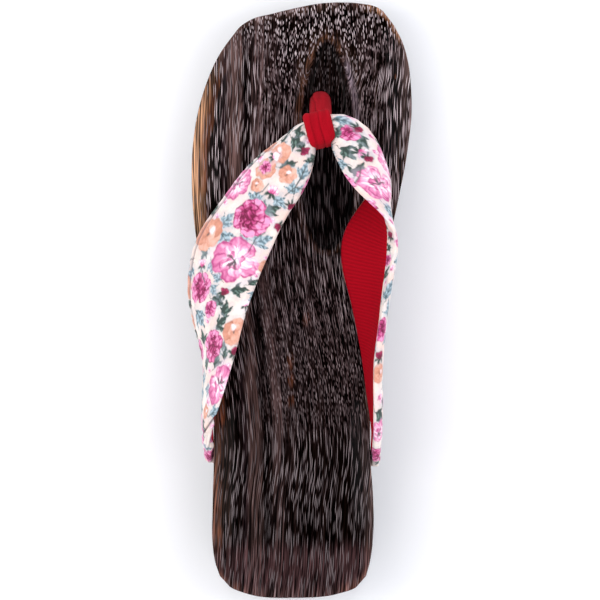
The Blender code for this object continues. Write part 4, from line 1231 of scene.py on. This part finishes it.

# Plain-woven red cotton: matt, with threads drawn 0.75 mm apart so that they show, and painted shade, a deeper red,
# down in the folds.
red_cotton, tree, shader = new_material("plain red cotton")
on_weave = node(tree, "Attribute", {"attribute_name": "cloth"}).outputs["Vector"]
weave = woven(tree, on_weave, 0.75)
in_fold = node(tree, "SeparateXYZ", {}, {0: on_weave})
slub = node(tree, "TexNoise", {"Scale": 1.6, "Detail": 4.0}, {"Vector": on_weave})
depth_shade = node(tree, "MapRange", {"From Min": -0.35, "From Max": 0.2}, {"Value": in_fold.outputs[2]})
shade = node(tree, "Math", {"operation": "MULTIPLY_ADD", 1: 0.35}, {0: slub.outputs[0], 2: depth_shade.outputs[0]})
shade = node(tree, "Math", {"operation": "MULTIPLY_ADD", 1: 0.08}, {0: weave, 2: shade.outputs[0]})
red = node(
    tree, "Mix", {"data_type": "RGBA", 6: (*linear("#70020e"), 1), 7: (*linear("#a20619"), 1)}, {0: shade.outputs[0]},
)
raised = node(tree, "Bump", {"Strength": 0.4, "Distance": 0.08 * MM}, {"Height": weave})
tree.links.new(red.outputs[2], shader.inputs["Base Color"])
tree.links.new(raised.outputs[0], shader.inputs["Normal"])
shader.inputs["Roughness"].default_value = 0.80
shader.inputs["Specular IOR Level"].default_value = 0.05
shader.inputs["Sheen Weight"].default_value = 0.03
loop_mesh.materials.clear()
loop_mesh.materials.append(red_cotton)
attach(toe_loop, "root")
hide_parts("toe_thong")

# ---- Floor, lights and camera ----------------------------------------------------------------
# A pale matt sheet under soft boxes: a broad warm one at the left, a weaker cool one at the right, one
# beyond the heel and one beyond the toe. The room's walls are pale and its ceiling is dark, so that the
# flat lacquer, which mirrors the ceiling, stays black.
FLOOR_HALF, FLOOR_BELOW = 3.0, 0.0002
floor_mesh = bpy.data.meshes.new("floor")
corners = [(FLOOR_HALF * x, FLOOR_HALF * y, -FLOOR_BELOW) for x, y in ((-1, -1), (1, -1), (1, 1), (-1, 1))]
floor_mesh.from_pydata(corners, [], [(0, 1, 2, 3)])
floor = new_piece("floor", floor_mesh)
pale_paper, tree, shader = new_material("pale matt paper")
shader.inputs["Base Color"].default_value = (0.95, 0.95, 0.95, 1)
shader.inputs["Roughness"].default_value = 0.9
shader.inputs["Specular IOR Level"].default_value = 0.1
floor_mesh.materials.append(pale_paper)


def soft_box(name, place, size, power, colour):
    """An area light that faces the sandal."""
    lamp = bpy.data.lights.new(name, "AREA")
    lamp.shape = "RECTANGLE"
    lamp.size, lamp.size_y = size
    lamp.energy = power
    lamp.color = colour
    made = new_piece(name, lamp)
    made.location = place
    made.rotation_euler = (Vector((0, 0, 0.03)) - Vector(place)).to_track_quat("-Z", "Y").to_euler()


soft_box("left_box", (-0.80, 0.04, 1.18), (0.5, 1.4), 7.8, (1.0, 0.985, 0.965))
soft_box("right_box", (0.84, 0.04, 1.18), (0.45, 1.4), 6.2, (0.93, 0.95, 1.0))
soft_box("heel_box", (0.0, -1.15, 1.00), (1.6, 0.6), 4.6, (1.0, 0.97, 0.96))
soft_box("toe_box", (0.0, 1.20, 1.00), (1.6, 0.6), 6.2, (1.0, 1.0, 1.0))
world = bpy.data.worlds.new("pale room")
world.use_nodes = True
tree = world.node_tree
overhead = node(tree, "SeparateXYZ", {}, {0: node(tree, "TexCoord").outputs["Generated"]}).outputs[2]
open_walls = node(tree, "MapRange", {"From Min": 0.95, "From Max": 0.72, "To Max": 1.1}, {"Value": overhead})
tree.nodes["Background"].inputs["Color"].default_value = (0.9, 0.92, 1.0, 1)
tree.links.new(open_walls.outputs[0], tree.nodes["Background"].inputs["Strength"])
bpy.context.scene.world = world
bpy.context.scene.view_settings.view_transform = "Standard"

# The photo is taken from straight above with a long lens: its 600 pixels span 241.7 mm at the strap's
# height.
CAMERA_HEIGHT, SUBJECT_HEIGHT, FRAME_WIDTH = 3.0, 0.035, 0.2417
camera_data = bpy.data.cameras.new("camera")
camera_data.angle = 2 * math.atan(FRAME_WIDTH / 2 / (CAMERA_HEIGHT - SUBJECT_HEIGHT))
camera = new_piece("camera", camera_data)
camera.location = (0, -0.0002, CAMERA_HEIGHT)
bpy.context.scene.camera = camera
